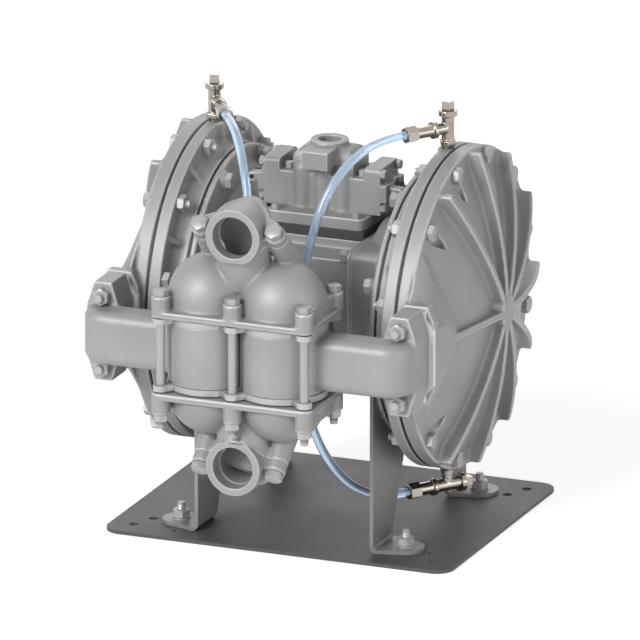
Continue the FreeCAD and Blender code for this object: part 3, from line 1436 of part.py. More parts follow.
def sight_tube():
    path = tube_path([tee_point(u, z) for u, z in TUBE_ROUTE])
    section = Part.Wire(Part.makeCircle(TUBE_R, tee_point(*TUBE_ROUTE[0]), path.Edges[0].tangentAt(0)))
    tube = path.makePipeShell([section], True, True)
    print("sight tube volume over section times length", tube.Volume / (math.pi * TUBE_R**2 * path.Length))
    return tube


def build():
    """Every node by name. A list is a group of separate solids."""
    upper_face = UPPER_SEAT_Z[1] + MANIFOLD_GASKET_T
    lower_face = LOWER_SEAT_Z[0] - MANIFOLD_GASKET_T
    nodes = {
        "base_plate": base_plate(),
        "foot_studs": foot_studs(),
        "foot_nuts": foot_nuts(),
        "rim_bolts": rim_bolts(),
        "rim_nuts": rim_nuts(),
        "driver_bolts": driver_bolts(),
        "chamber_plugs": chamber_plugs(),
        "center_body": center_body(),
        "body_bolts": body_bolts(),
        "rod_bushings": rod_bushings(),
        "diaphragm_rod": diaphragm_rod(),
        "inner_plates": both_sides([inner_plate()]),
        "outer_plates": both_sides([outer_plate()]),
        "pilot_body": pilot_body(),
        "pilot_spool": pilot_spool(),
        "pilot_plungers": pilot_plungers(),
        "valve_gasket": valve_gasket(),
        "valve_body": valve_body(),
        "valve_bumpers": valve_bumpers(),
        "valve_screws": valve_screws(),
        "cap_screws": cap_screws(),
        "valve_sleeve": valve_sleeve(),
        "valve_spool": valve_spool(),
        "seat_plates": seat_plates(),
        "valve_seats": valve_seats(),
        "manifold_gaskets": manifold_gaskets(),
        "discharge_manifold": manifold(upper_face, UPPER_BOSS_Z, UPPER_DOME_Z, DISCHARGE_Z, 1),
        "suction_manifold": manifold(lower_face, LOWER_BOSS_Z, LOWER_DOME_Z, SUCTION_Z, -1),
        "discharge_port": port_elbow(DISCHARGE_Z, 1),
        "suction_port": port_elbow(SUCTION_Z, -1),
        "port_bolts": port_bolts(),
        "tie_bolts": tie_bolts(),
        "tie_nuts": tie_nuts(),
        "port_gaskets": port_gaskets(),
        "side_studs": side_studs(),
        "sight_tees": sight_tees(),
        "tee_plugs": tee_plugs(),
        "compression_nuts": compression_nuts(),
    }
    right_hand = {
        "leg_bracket": leg_bracket(),
        "outer_chamber": outer_chamber(),
        "containment_chamber": containment_chamber(),
        "air_chamber": air_chamber(),
        "pump_diaphragm": pump_diaphragm(),
        "driver_diaphragm": driver_diaphragm(),
        "valve_cap": valve_cap(),
        "valve_elbow": valve_elbow(),
        "suction_ball": ball(LOWER_SEAT_Z[1], 1),
        "discharge_ball": ball(UPPER_SEAT_Z[1], 1),
        "sight_tube": sight_tube(),
    }
    for name, shape in right_hand.items():
        nodes["right_" + name] = shape
        nodes["left_" + name] = mirrored(shape)
    return nodes


os.makedirs("parts", exist_ok=True)
for node, shape in build().items():
    if isinstance(shape, list):
        shape = Part.makeCompound(shape)
    shape.exportStep("parts/" + node + ".step")
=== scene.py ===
import logging
import math
from collections.abc import Callable, Iterable, Sequence
from dataclasses import dataclass, field, replace
from enum import Enum

import bmesh
import bpy
import numpy as np
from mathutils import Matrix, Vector


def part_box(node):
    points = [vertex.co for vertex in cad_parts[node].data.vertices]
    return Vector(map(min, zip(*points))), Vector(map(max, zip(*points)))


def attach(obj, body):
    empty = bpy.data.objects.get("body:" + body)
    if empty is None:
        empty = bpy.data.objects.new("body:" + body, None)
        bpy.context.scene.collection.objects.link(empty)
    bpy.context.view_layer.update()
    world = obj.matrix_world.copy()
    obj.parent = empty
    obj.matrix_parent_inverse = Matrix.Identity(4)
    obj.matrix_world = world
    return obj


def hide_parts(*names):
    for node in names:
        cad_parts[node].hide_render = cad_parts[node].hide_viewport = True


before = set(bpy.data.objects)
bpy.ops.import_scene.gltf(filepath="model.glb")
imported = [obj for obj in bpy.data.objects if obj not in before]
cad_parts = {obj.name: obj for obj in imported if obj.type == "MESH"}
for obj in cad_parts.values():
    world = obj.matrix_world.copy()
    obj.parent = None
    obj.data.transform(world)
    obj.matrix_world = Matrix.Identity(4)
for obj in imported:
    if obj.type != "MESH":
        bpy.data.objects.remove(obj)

LOG = logging.getLogger("diaphragm_pump")

Colour = tuple[float, float, float]
Point = tuple[float, float, float]
Inputs = dict[str | int, object]

MM = 0.001
# Corners nearer than this are one, in metres.
MERGE = 2e-6
RING_STEPS = 96
BEVEL_STEPS = 2
# Neighbouring faces that turn by less than this many degrees are one face.
FLAT_DEGREES = 1.0
SHARP_MARGIN = 10.0
FLAT_WEIGHT = 80
# Shares of a smoothing step that outer edges and hollow corners take.
FIRST_FAIRING = (0.14, 0.6)
LAST_FAIRING = (0.12, 0.3)
WHITE = (1.0, 1.0, 1.0, 1.0)
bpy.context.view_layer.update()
PUMP = "pump"
SIDES = {"left": -1.0, "right": 1.0}
STAGES = ("discharge", "suction")


class Slot(Enum):
    """Material slots."""

    CAST = "cast_metal"
    BASE = "base_steel"
    LEG = "leg_steel"
    FASTENER = "fastener_steel"
    NICKEL = "nickel_fitting"
    RUBBER = "black_rubber"
    PTFE = "white_ptfe"
    GASKET = "dark_gasket"
    ALUMINIUM = "aluminium"
    TUBE = "blue_tube"
    BRONZE = "bronze"
    PLASTIC = "spool_plastic"


# Nodes and materials


def fed(tree: bpy.types.NodeTree, node: bpy.types.Node, values: Inputs) -> None:
    """Set or link a node's inputs.

    Args:
        tree: Tree of the node.
        node: The node.
        values: Input name or index to a constant, a socket or a list of sockets.
    """
    for key, value in values.items():
        for one in value if isinstance(value, list) else [value]:
            if isinstance(one, bpy.types.NodeSocket):
                tree.links.new(one, node.inputs[key])
            else:
                node.inputs[key].default_value = one


def placed(tree: bpy.types.NodeTree, kind: str, values: Inputs, **settings: object) -> bpy.types.Node:
    """Add a node and set or link its inputs.

    Args:
        tree: Tree that gets the node.
        kind: Blender's name for the node's type.
        values: Input name or index to a constant, a socket or a list of sockets.
        settings: Properties of the node itself.

    Returns:
        The new node.
    """
    node = tree.nodes.new(kind)
    for key, value in settings.items():
        setattr(node, key, value)
    fed(tree, node, values)
    return node


class Shading:
    """Short way to write the nodes of one procedural material."""

    def __init__(self, name: str) -> None:
        """Start a material with its Principled shader.

        Args:
            name: Name of the material.
        """
        self.material = bpy.data.materials.new(name)
        self.material.use_nodes = True
        self.tree = self.material.node_tree
        self.surface = self.tree.nodes["Principled BSDF"]
        self.place = self.put("ShaderNodeTexCoord", {}).outputs["Object"]

    def put(self, kind: str, values: Inputs, **settings: object) -> bpy.types.Node:
        """Add a node to the material and set or link its inputs, as placed does."""
        return placed(self.tree, kind, values, **settings)

    def noise(self, scale: float, detail: float = 3.0, roughness: float = 0.55) -> bpy.types.NodeSocket:
        """Noise in the object's own space.

        Args:
            scale: Lumps to the metre.
            detail: Octaves of finer noise.
            roughness: Share of the finer octaves.

        Returns:
            The noise's value socket.
        """
        values = {"Vector": self.place, "Scale": scale, "Detail": detail, "Roughness": roughness}
        return self.put("ShaderNodeTexNoise", values).outputs["Fac"]

    def ramp(
        self, value: bpy.types.NodeSocket, stops: Sequence[tuple[float, Colour]]
    ) -> bpy.types.NodeSocket:
        """Colour ramp over a value.

        Args:
            value: Socket that the ramp reads.
            stops: Places on the ramp, from 0 to 1, and their colours.

        Returns:
            The ramp's colour socket.
        """
        node = self.put("ShaderNodeValToRGB", {"Fac": value})
        marks = node.color_ramp.elements
        while len(marks) < len(stops):
            marks.new(0.5)
        for mark, (at, colour) in zip(marks, stops):
            mark.position = at
            mark.color = (*colour, 1.0)
        return node.outputs["Color"]

    def blend(
        self, share: object, first: object, second: object, mode: str = "MIX"
    ) -> bpy.types.NodeSocket:
        """Mix two colours.

        Args:
            share: Share of the second colour, a number or a socket.
            first: Colour with four numbers, or a socket.
            second: Colour with four numbers, or a socket.
            mode: Blender's name for the way that they mix.

        Returns:
            The mixed colour's socket.
        """
        values = {0: share, 6: first, 7: second}
        return self.put("ShaderNodeMix", values, data_type="RGBA", blend_type=mode).outputs[2]

    def rises(
        self, value: bpy.types.NodeSocket, low: float, high: float, start: float = 0.0, end: float = 1.0
    ) -> bpy.types.NodeSocket:
        """Map a value from one range to another, held at both ends.

        Args:
            value: Socket that is mapped.
            low: Value that gives start.
            high: Value that gives end.
            start: Result at low.
            end: Result at high.

        Returns:
            The mapped value's socket.
        """
        values = {"Value": value, "From Min": low, "From Max": high, "To Min": start, "To Max": end}
        return self.put("ShaderNodeMapRange", values).outputs["Result"]

    def bump(
        self, height: bpy.types.NodeSocket, depth: float, strength: float = 1.0, under: object = None
    ) -> bpy.types.NodeSocket:
        """Bump from a height.

        Args:
            height: Socket with the height, from 0 to 1.
            depth: Metres from the lowest to the highest point.
            strength: Share of the bump that is used.
            under: Normal socket of a bump that this one lies on.

        Returns:
            The normal's socket.
        """
        values = {"Height": height, "Distance": depth, "Strength": strength}
        if under is not None:
            values["Normal"] = under
        return self.put("ShaderNodeBump", values).outputs["Normal"]

    def pointed(self) -> bpy.types.NodeSocket:
        """Give how far the surface stands out at an edge or sinks in at a corner."""
        return self.put("ShaderNodeNewGeometry", {}).outputs["Pointiness"]

    def varied(
        self, value: bpy.types.NodeSocket, colour: Colour, low: float, high: float, top: float = 0.7
    ) -> bpy.types.NodeSocket:
        """Vary a colour's level with a noise.

        Args:
            value: The noise's socket.
            colour: The colour.
            low: Share of it where the noise is low.
            high: Share of it where the noise is high.
            top: Value of the noise that gives the high share.

        Returns:
            The colour's socket.
        """
        return self.ramp(value, [(0.3, scaled(colour, low)), (top, scaled(colour, high))])

    def roughened(
        self, value: bpy.types.NodeSocket, gloss: float, below: float, above: float
    ) -> bpy.types.NodeSocket:
        """Vary a roughness with a noise, from below its value to above it."""
        return self.rises(value, 0.3, 0.7, gloss - below, gloss + above)

    def shade(self, **inputs: object) -> bpy.types.Material:
        """Set the Principled shader's inputs.

        Args:
            inputs: Input name, with spaces as underscores, to a constant or a socket.

        Returns:
            The finished material.
        """
        names = {key: "IOR" if key == "ior" else key.replace("_", " ").title() for key in inputs}
        fed(self.tree, self.surface, {names[key]: value for key, value in inputs.items()})
        return self.material


def grey(level: float, warmth: float = 0.0) -> Colour:
    """Give a grey, warmer or cooler by a share of its level."""
    return (level * (1 + warmth), level, level * (1 - warmth))


def scaled(colour: Colour, share: float) -> Colour:
    """Give a lighter or darker colour of the same hue."""
    return tuple(min(1.0, share * part) for part in colour)


@dataclass(frozen=True)
class Finish:
    """What every finish has: a name and the slot that it belongs to."""

    name: str
    slot: Slot

    def material(self) -> bpy.types.Material:
        """Give the finish's material, made on its first use."""
        found = bpy.data.materials.get(self.name)
        return found if found else self.made()

    def made(self) -> bpy.types.Material:
        """Make the material; each finish has its own."""
        raise NotImplementedError


@dataclass(frozen=True)
class CastFinish(Finish):
    """Satin coat on a sand casting: fine grain, slow colour drift, outer edges lightened for wear and as a
    painted highlight, hollows darkened as painted shade.
    """

    level: float = 0.33
    warmth: float = 0.022
    metal: float = 0.25
    gloss: float = 0.5
    grain_scale: float = 750.0
    grain_depth: float = 0.00022
    # Share of a lighter grey on outer edges, partly for wear and partly as a painted highlight.
    worn_and_lit_gain: float = 0.5
    # Share of the level left in hollow corners, which are darkened as painted shade.
    hollow: float = 0.55

    def made(self) -> bpy.types.Material:
        """Make the casting's material."""
        s = Shading(self.name)
        body = s.varied(s.noise(14.0, 4.0), grey(self.level, self.warmth), 0.93, 1.06)
        speck = s.ramp(s.noise(2600.0, 2.0), [(0.36, grey(0.86)), (0.6, grey(1.03))])
        body = s.blend(1.0, body, speck, "MULTIPLY")
        point = s.pointed()
        # Outer edges lightened, partly as wear and partly as a painted highlight.
        worn_and_lit = s.rises(point, 0.512, 0.56, 0.0, self.worn_and_lit_gain)
        body = s.blend(worn_and_lit, body, (*grey(min(1.0, self.level * 2.1), self.warmth), 1.0))
        # Hollow corners darkened as painted shade.
        painted_shade = s.rises(point, 0.495, 0.445)
        body = s.blend(painted_shade, body, (*grey(self.level * self.hollow, self.warmth), 1.0))
        grain = s.noise(self.grain_scale, 4.0, 0.6)
        coarse = s.noise(160.0, 2.0)
        normal = s.bump(grain, self.grain_depth, 0.5, s.bump(coarse, 0.0005, 0.35))
        rough = s.roughened(grain, self.gloss, 0.05, 0.08)
        return s.shade(base_color=body, metallic=self.metal, roughness=rough, normal=normal)


@dataclass(frozen=True)
class SheetFinish(Finish):
    """Painted plate: smooth, with a faint orange peel and edges lightened for rubbing and as a painted
    highlight.
    """

    level: float = 0.12
    warmth: float = 0.02
    metal: float = 0.3
    gloss: float = 0.38

    def made(self) -> bpy.types.Material:
        """Make the plate's material."""
        s = Shading(self.name)
        drift = s.noise(9.0, 5.0)
        body = s.varied(drift, grey(self.level, self.warmth), 0.92, 1.08, 0.72)
        speck = s.ramp(s.noise(1900.0, 2.0), [(0.35, grey(0.9)), (0.62, grey(1.04))])
        body = s.blend(1.0, body, speck, "MULTIPLY")
        # Edges lightened, partly as rubbing and partly as a painted highlight.
        worn_and_lit = s.rises(s.pointed(), 0.53, 0.6, 0.0, 0.35)
        body = s.blend(worn_and_lit, body, (*grey(self.level * 1.9, self.warmth), 1.0))
        peel = s.noise(420.0, 3.0)
        rough = s.roughened(drift, self.gloss, 0.04, 0.07)
        normal = s.bump(peel, 0.00012, 0.4)
        return s.shade(base_color=body, metallic=self.metal, roughness=rough, normal=normal)


@dataclass(frozen=True)
class MachinedFinish(Finish):
    """Bare or plated metal with fine tool marks."""

    colour: Colour = (0.55, 0.54, 0.52)
    gloss: float = 0.3
    metal: float = 0.85
    marks: float = 0.00006

    def made(self) -> bpy.types.Material:
        """Make the metal's material."""
        s = Shading(self.name)
        drift = s.noise(60.0, 4.0)
        body = s.varied(drift, self.colour, 0.88, 1.0)
        # Edges lightened, partly as wear and partly as a painted highlight.
        worn_and_lit = s.rises(s.pointed(), 0.52, 0.6, 0.0, 0.5)
        body = s.blend(worn_and_lit, body, (*scaled(self.colour, 1.35), 1.0))
        marks = s.noise(1800.0, 2.0, 0.5)
        rough = s.roughened(drift, self.gloss, 0.05, 0.08)
        normal = s.bump(marks, self.marks, 0.5)
        return s.shade(base_color=body, metallic=self.metal, roughness=rough, normal=normal)


@dataclass(frozen=True)
class MouldedFinish(Finish):
    """Rubber, gasket board or PTFE: no metal in it, with a fine matt skin."""

    colour: Colour = (0.02, 0.02, 0.022)
    gloss: float = 0.6
    skin_scale: float = 1200.0
    skin_depth: float = 0.0001
    glow: float = 0.0

    def made(self) -> bpy.types.Material:
        """Make the moulded material."""
        s = Shading(self.name)
        skin = s.noise(self.skin_scale, 3.0)
        return s.shade(
            base_color=s.varied(s.noise(45.0, 4.0), self.colour, 0.9, 1.05),
            roughness=s.roughened(skin, self.gloss, 0.06, 0.06),
            normal=s.bump(skin, self.skin_depth, 0.5),
            subsurface_weight=self.glow,
            subsurface_scale=0.002,
        )


@dataclass(frozen=True)
class TubeFinish(Finish):
    """Clear blue plastic tube with fluid in it."""

    colour: Colour = (0.64, 0.81, 1.0)
    gloss: float = 0.06

    def made(self) -> bpy.types.Material:
        """Make the tube's material."""
        s = Shading(self.name)
        haze = s.noise(70.0, 3.0)
        return s.shade(
            base_color=s.varied(haze, self.colour, 0.93, 1.0),
            roughness=s.roughened(haze, self.gloss, 0.0, 0.08),
            ior=1.4,
            transmission_weight=0.7,
            coat_weight=0.6,
            coat_roughness=0.08,
            normal=s.bump(s.noise(300.0, 2.0), 0.00005, 0.4),
        )


CAST = CastFinish("cast_coat", Slot.CAST)
VALVE_CAST = CastFinish(
    "air_valve_coat", Slot.CAST, level=0.32, warmth=0.005, metal=0.2, gloss=0.52, worn_and_lit_gain=0.55
)
BASE_PAINT = SheetFinish("base_plate_paint", Slot.BASE, level=0.065, warmth=0.03, metal=0.1, gloss=0.55)
LEG_PAINT = SheetFinish("leg_paint", Slot.LEG, level=0.24, gloss=0.45)
BOLT_STEEL = MachinedFinish(
    "bolt_steel", Slot.FASTENER, colour=(0.36, 0.355, 0.345), gloss=0.42, metal=0.35
)
TIE_STEEL = MachinedFinish(
    "tie_rod_steel", Slot.FASTENER, colour=(0.34, 0.34, 0.335), gloss=0.38, metal=0.4
)
NICKEL = MachinedFinish(
    "nickel_plate", Slot.NICKEL, colour=(0.37, 0.34, 0.30), gloss=0.17, metal=1.0, marks=0.00003
)
RUBBER = MouldedFinish("diaphragm_rubber", Slot.RUBBER, colour=(0.012, 0.012, 0.013), gloss=0.55)
BUMPER = MouldedFinish("bumper_rubber", Slot.RUBBER, colour=(0.03, 0.03, 0.032), gloss=0.5)
PTFE = MouldedFinish("ptfe_sheet", Slot.PTFE, colour=(0.80, 0.80, 0.78), gloss=0.5, glow=0.15)
GASKET = MouldedFinish(
    "gasket_board", Slot.GASKET, colour=(0.035, 0.034, 0.033), gloss=0.7, skin_scale=700.0
)
ADAPTOR = MouldedFinish(
    "valve_gasket_board", Slot.GASKET, colour=(0.05, 0.05, 0.05), gloss=0.6, skin_scale=500.0
)
ALUMINIUM = MachinedFinish("turned_aluminium", Slot.ALUMINIUM, colour=(0.72, 0.72, 0.73), gloss=0.3)
BRONZE = MachinedFinish("sintered_bronze", Slot.BRONZE, colour=(0.50, 0.33, 0.15), gloss=0.36)
SPOOL = MouldedFinish("spool_acetal", Slot.PLASTIC, colour=(0.62, 0.60, 0.55), gloss=0.4)
ROD_STEEL = MachinedFinish("rod_steel", Slot.FASTENER, colour=(0.62, 0.62, 0.62), gloss=0.2, metal=1.0)
TUBE = TubeFinish("blue_sight_tube", Slot.TUBE)


# Meshes


def shown(data: bpy.types.ID, name: str) -> bpy.types.Object:
    """Put data into the scene as a new object.

    Args:
        data: Mesh, curve, light or camera.
        name: Name of the object.

    Returns:
        The object.
    """
    obj = bpy.data.objects.new(name, data)
    bpy.context.scene.collection.objects.link(obj)
    return obj


def settled(obj: bpy.types.Object) -> bpy.types.Mesh:
    """Turn an object with its modifiers into a plain mesh, and remove the object.

    Args:
        obj: Object whose modifiers are evaluated.

    Returns:
        The plain mesh.
    """
    bpy.context.view_layer.update()
    graph = bpy.context.evaluated_depsgraph_get()
    mesh = bpy.data.meshes.new_from_object(obj.evaluated_get(graph), depsgraph=graph)
    bpy.data.objects.remove(obj)
    return mesh


def plain_mesh(form: bmesh.types.BMesh, name: str) -> bpy.types.Mesh:
    """Write an editable mesh into a new plain one, and free it.

    Args:
        form: The editable mesh.
        name: Name of the plain mesh.

    Returns:
        The plain mesh.
    """
    mesh = bpy.data.meshes.new(name)
    form.to_mesh(mesh)
    form.free()
    return mesh


def welded(node: str) -> bmesh.types.BMesh:
    """Copy a CAD node into an editable mesh whose triangles share their corners.

    Args:
        node: Name of the node.

    Returns:
        The editable mesh.
    """
    form = bmesh.new()
    form.from_mesh(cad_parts[node].data)
    bmesh.ops.remove_doubles(form, verts=form.verts, dist=MERGE)
    return form


def merged(node: str) -> bpy.types.Mesh:
    """Copy a CAD node into one mesh whose triangles share their corners."""
    return plain_mesh(welded(node), node + "_form")


def joined(meshes: Iterable[bpy.types.Mesh], name: str) -> bpy.types.Mesh:
    """Put several meshes into one.

    Args:
        meshes: Meshes to copy.
        name: Name of the result.

    Returns:
        The one mesh.
    """
    form = bmesh.new()
    for mesh in meshes:
        form.from_mesh(mesh)
    return plain_mesh(form, name)


def ring_slab(bore: float, radius: float, start: float, end: float, middle_z: float) -> bpy.types.Mesh:
    """Flat closed ring that lies round a line along X.

    Args:
        bore: Inner radius in metres.
        radius: Outer radius in metres.
        start: X of one face.
        end: X of the other face.
        middle_z: Height of the line.

    Returns:
        The ring.
    """
    form = bmesh.new()
    corners = ((start, bore), (start, radius), (end, radius), (end, bore))
    rounds = []
    for step in range(RING_STEPS):
        angle = math.tau * step / RING_STEPS
        across, up = math.cos(angle), math.sin(angle)
        rounds.append([form.verts.new((x, r * across, middle_z + r * up)) for x, r in corners])
    for step, here in enumerate(rounds):
        there = rounds[(step + 1) % RING_STEPS]
        for corner in range(4):
            after = (corner + 1) % 4
            form.faces.new((here[corner], here[after], there[after], there[corner]))
    bmesh.ops.recalc_face_normals(form, faces=form.faces)
    return plain_mesh(form, "ring_slab")


def faired(mesh: bpy.types.Mesh, passes: int, edge_share: float, hollow_share: float) -> None:
    """Smooth a mesh with fillets in its hollow corners, while its outer edges stay crisp.

    Args:
        mesh: Mesh that is changed.
        passes: Rounds of smoothing.
        edge_share: Share of a round's step that an outer edge takes.
        hollow_share: Share of a round's step that a hollow corner takes.
    """
    count = len(mesh.vertices)
    places = np.empty((count, 3))
    mesh.vertices.foreach_get("co", places.ravel())
    outward = np.empty((count, 3))
    mesh.vertex_normals.foreach_get("vector", outward.ravel())
    ends = np.empty(len(mesh.edges) * 2, dtype=np.int32)
    mesh.edges.foreach_get("vertices", ends)
    first, second = ends.reshape(-1, 2).T
    near = np.bincount(ends, minlength=count)[:, None]
    for _ in range(passes):
        sums = [
            np.bincount(first, line[second], count) + np.bincount(second, line[first], count)
            for line in places.T
        ]
        step = np.stack(sums, axis=1) / near - places
        is_hollow = (step * outward).sum(axis=1, keepdims=True) > 0
        places = places + step * np.where(is_hollow, hollow_share, edge_share)
    mesh.vertices.foreach_set("co", places.ravel())
    mesh.update()


def cast_skin(meshes: Iterable[bpy.types.Mesh], name: str, voxel: float, passes: int) -> bpy.types.Mesh:
    """One closed skin round several closed meshes, with the fillets of a casting.

    The skin's outer edges go back out to the meshes' own, so that only hollow corners are filled.

    Args:
        meshes: Closed meshes, which may cut into each other.
        name: Name of the result.
        voxel: Grid of the skin in metres.
        passes: Rounds of smoothing, which set how large the fillets are.

    Returns:
        The skin.
    """
    form = joined(meshes, name)
    target = shown(form.copy(), name + "_target")
    obj = shown(form, name)
    skin = obj.modifiers.new("skin", "REMESH")
    skin.mode = "VOXEL"
    skin.voxel_size = voxel
    skin.use_smooth_shade = True
    mesh = settled(obj)
    faired(mesh, passes, *FIRST_FAIRING)
    obj = shown(mesh, name)
    outer = obj.modifiers.new("outer", "SHRINKWRAP")
    outer.target = target
    outer.wrap_method = "NEAREST_SURFACEPOINT"
    outer.wrap_mode = "OUTSIDE"
    mesh = settled(obj)
    bpy.data.objects.remove(target)
    faired(mesh, 1, *LAST_FAIRING)
    mesh.shade_smooth()
    return mesh


def soft_edges(mesh: bpy.types.Mesh, name: str, width: float, angle: float = 35.0) -> bpy.types.Mesh:
    """Round the sharp edges of a plate or a turned part a little.

    Args:
        mesh: Closed mesh with shared corners.
        name: Name of the result.
        width: Width of the rounded edge in metres.
        angle: Edges that turn by more than this many degrees are rounded.

    Returns:
        The finished mesh.
    """
    form = bmesh.new()
    form.from_mesh(mesh)
    flat = math.radians(FLAT_DEGREES)
    bmesh.ops.dissolve_limit(form, angle_limit=flat, verts=form.verts, edges=form.edges)
    # Faces around an opening are cut up again, so that none of them closes it.
    wide = [face for face in form.faces if len(face.verts) > 4]
    bmesh.ops.triangulate(form, faces=wide, ngon_method="EAR_CLIP")
    obj = shown(plain_mesh(form, name), name)
    bevel = obj.modifiers.new("edge", "BEVEL")
    bevel.width = width
    bevel.segments = BEVEL_STEPS
    bevel.limit_method = "ANGLE"
    bevel.angle_limit = math.radians(angle)
    result = settled(obj)
    result.shade_smooth()
    result.set_sharp_from_angle(angle=math.radians(angle + SHARP_MARGIN))
    obj = shown(result, name)
    even = obj.modifiers.new("even", "WEIGHTED_NORMAL")
    even.keep_sharp = True
    even.weight = FLAT_WEIGHT
    return settled(obj)


def piece(mesh: bpy.types.Mesh, name: str, body: str, node: str, finish: Finish) -> None:
    """Put a finished mesh into the scene and tie it to its body.

    Args:
        mesh: The finished mesh.
        name: Name of the piece.
        body: Body that it moves with.
        node: CAD node that it stands for.
        finish: Its material.
    """
    mesh.materials.clear()
    mesh.materials.append(finish.material())
    obj = shown(mesh, name)
    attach(obj, body)
    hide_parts(node)
    LOG.info("%s: %d faces on %s", name, len(mesh.polygons), body)


# Fasteners by Geometry Nodes


# How a solid is told to be a hexagon: its far corners, their turn and its slack, in degrees.
CORNER_SHARE = 0.985
HEXAGON_STEP = 60
HEXAGON_SLACK = 6
PIN_STEP = 0.2 * MM
# Shares of a hexagon's corner radius, of its height and of a pin's radius.
CHAMFER_TOP = 0.84
CHAMFER_SLOPE = 1.9
THREAD_CORE = 0.86


@dataclass(frozen=True)
class Turned:
    """One solid of a fastener node: a hexagon with what stands out of it, or a round pin."""

    seat: Vector
    way: Vector
    facing: Vector
    corner: float
    height: float
    pin: float
    above: float
    below: float
    is_hexagon: bool


def islands(node: str) -> list[np.ndarray]:
    """Corner points of each separate solid of a CAD node.

    Args:
        node: Name of the node.

    Returns:
        One array of points for each solid.
    """
    form = welded(node)
    waiting = set(form.verts)
    found = []
    while waiting:
        stack = [waiting.pop()]
        group = []
        while stack:
            vert = stack.pop()
            group.append(tuple(vert.co))
            for edge in vert.link_edges:
                other = edge.other_vert(vert)
                if other in waiting:
                    waiting.remove(other)
                    stack.append(other)
        found.append(np.array(sorted(group)))
    form.free()
    return sorted(found, key=lambda points: tuple(np.round(points.mean(axis=0), 5)))


def measured(points: np.ndarray, way: Vector) -> Turned:
    """Read a fastener's sizes off its solid.

    Args:
        points: Corner points of the solid.
        way: Direction of its axis, from its seat outwards.

    Returns:
        The fastener.
    """
    side = way.orthogonal().normalized()
    frame_axes = np.array([side, way.cross(side), way])
    local = points @ frame_axes.T
    middle = (local[:, :2].min(axis=0) + local[:, :2].max(axis=0)) / 2
    flat = local[:, :2] - middle
    radius = np.hypot(flat[:, 0], flat[:, 1])
    corner = float(radius.max())
    far = radius > CORNER_SHARE * corner
    turns = np.degrees(np.arctan2(flat[far, 1], flat[far, 0])) % HEXAGON_STEP
    spread = min(np.ptp(turns), np.ptp((turns + HEXAGON_STEP / 2) % HEXAGON_STEP))
    low = float(local[far, 2].min())
    high = float(local[far, 2].max())
    beyond = (local[:, 2] > high + PIN_STEP) | (local[:, 2] < low - PIN_STEP)
    pin = float(radius[beyond].max()) if beyond.any() else 0.0
    first = flat[far][0] / np.hypot(*flat[far][0])
    seat = np.array([middle[0], middle[1], low]) @ frame_axes
    facing = np.array([first[0], first[1], 0.0]) @ frame_axes
    return Turned(
        seat=Vector(seat),
        way=way.normalized(),
        facing=Vector(facing),
        corner=corner,
        height=high - low,
        pin=pin,
        above=float(local[:, 2].max()) - high,
        below=low - float(local[:, 2].min()),
        is_hexagon=bool(spread < HEXAGON_SLACK),
    )


class Tree:
    """Geometry Nodes tree with named inputs that sets one made shape on every point."""

    def __init__(self, name: str, sizes: Sequence[str]) -> None:
        """Start the tree.

        Args:
            name: Name of the tree.
            sizes: Names of its size inputs.
        """
        self.group = bpy.data.node_groups.new(name, "GeometryNodeTree")
        face = self.group.interface
        kinds = {"Geometry": "NodeSocketGeometry", **dict.fromkeys(sizes, "NodeSocketFloat")}
        kinds["Finish"] = "NodeSocketMaterial"
        self.sockets = {n: face.new_socket(n, in_out="INPUT", socket_type=kind) for n, kind in kinds.items()}
        face.new_socket("Geometry", in_out="OUTPUT", socket_type="NodeSocketGeometry")
        self.inputs = self.group.nodes.new("NodeGroupInput").outputs
        self.end = self.group.nodes.new("NodeGroupOutput")

    def put(self, kind: str, values: Inputs, **settings: object) -> bpy.types.Node:
        """Add a node to the tree and set or link its inputs, as placed does."""
        return placed(self.group, kind, values, **settings)

    def math(self, how: str, first: object, second: object) -> bpy.types.NodeSocket:
        """Add a sum of two values."""
        return self.put("ShaderNodeMath", {0: first, 1: second}, operation=how).outputs[0]

    def lifted(self, shape: bpy.types.NodeSocket, height: object) -> bpy.types.NodeSocket:
        """Move a shape along its own axis."""
        offset = self.put("ShaderNodeCombineXYZ", {"Z": height}).outputs[0]
        return self.put("GeometryNodeTransform", {"Geometry": shape, "Translation": offset}).outputs[0]

    def finish(self, shape: bpy.types.NodeSocket) -> None:
        """Set the shape on every point, by the points' way and facing, and end the tree.

        Args:
            shape: Geometry socket of the made shape, standing on the origin along Z.
        """
        named = "GeometryNodeInputNamedAttribute"
        way = self.put(named, {"Name": "way"}, data_type="FLOAT_VECTOR").outputs["Attribute"]
        facing = self.put(named, {"Name": "facing"}, data_type="FLOAT_VECTOR").outputs["Attribute"]
        axes = {"primary_axis": "Z", "secondary_axis": "X"}
        turn = self.put("FunctionNodeAxesToRotation", {0: way, 1: facing}, **axes).outputs[0]
        values = {"Points": self.inputs["Geometry"], "Instance": shape, "Rotation": turn}
        set_out = self.put("GeometryNodeInstanceOnPoints", values).outputs[0]
        real = self.put("GeometryNodeRealizeInstances", {0: set_out}).outputs[0]
        done = self.put("GeometryNodeSetMaterial", {"Geometry": real, "Material": self.inputs["Finish"]})
        self.group.links.new(done.outputs[0], self.end.inputs[0])

    def grown(self, turned: Sequence[Turned], sizes: dict[str, float], finish: Finish) -> bpy.types.Mesh:
        """Run the tree on the points of some fasteners.

        Args:
            turned: Fasteners that give the points and their directions.
            sizes: Value of each size input.
            finish: Material of the shapes.

        Returns:
            The plain mesh.
        """
        mesh = bpy.data.meshes.new("points")
        mesh.from_pydata([t.seat for t in turned], [], [])
        for name in ("way", "facing"):
            values = [c for t in turned for c in getattr(t, name)]
            mesh.attributes.new(name, "FLOAT_VECTOR", "POINT").data.foreach_set("vector", values)
        obj = shown(mesh, "points")
        modifier = obj.modifiers.new("set", "NODES")
        modifier.node_group = self.group
        for name, value in sizes.items():
            modifier[self.sockets[name].identifier] = value
        modifier[self.sockets["Finish"].identifier] = finish.material()
        return settled(obj)


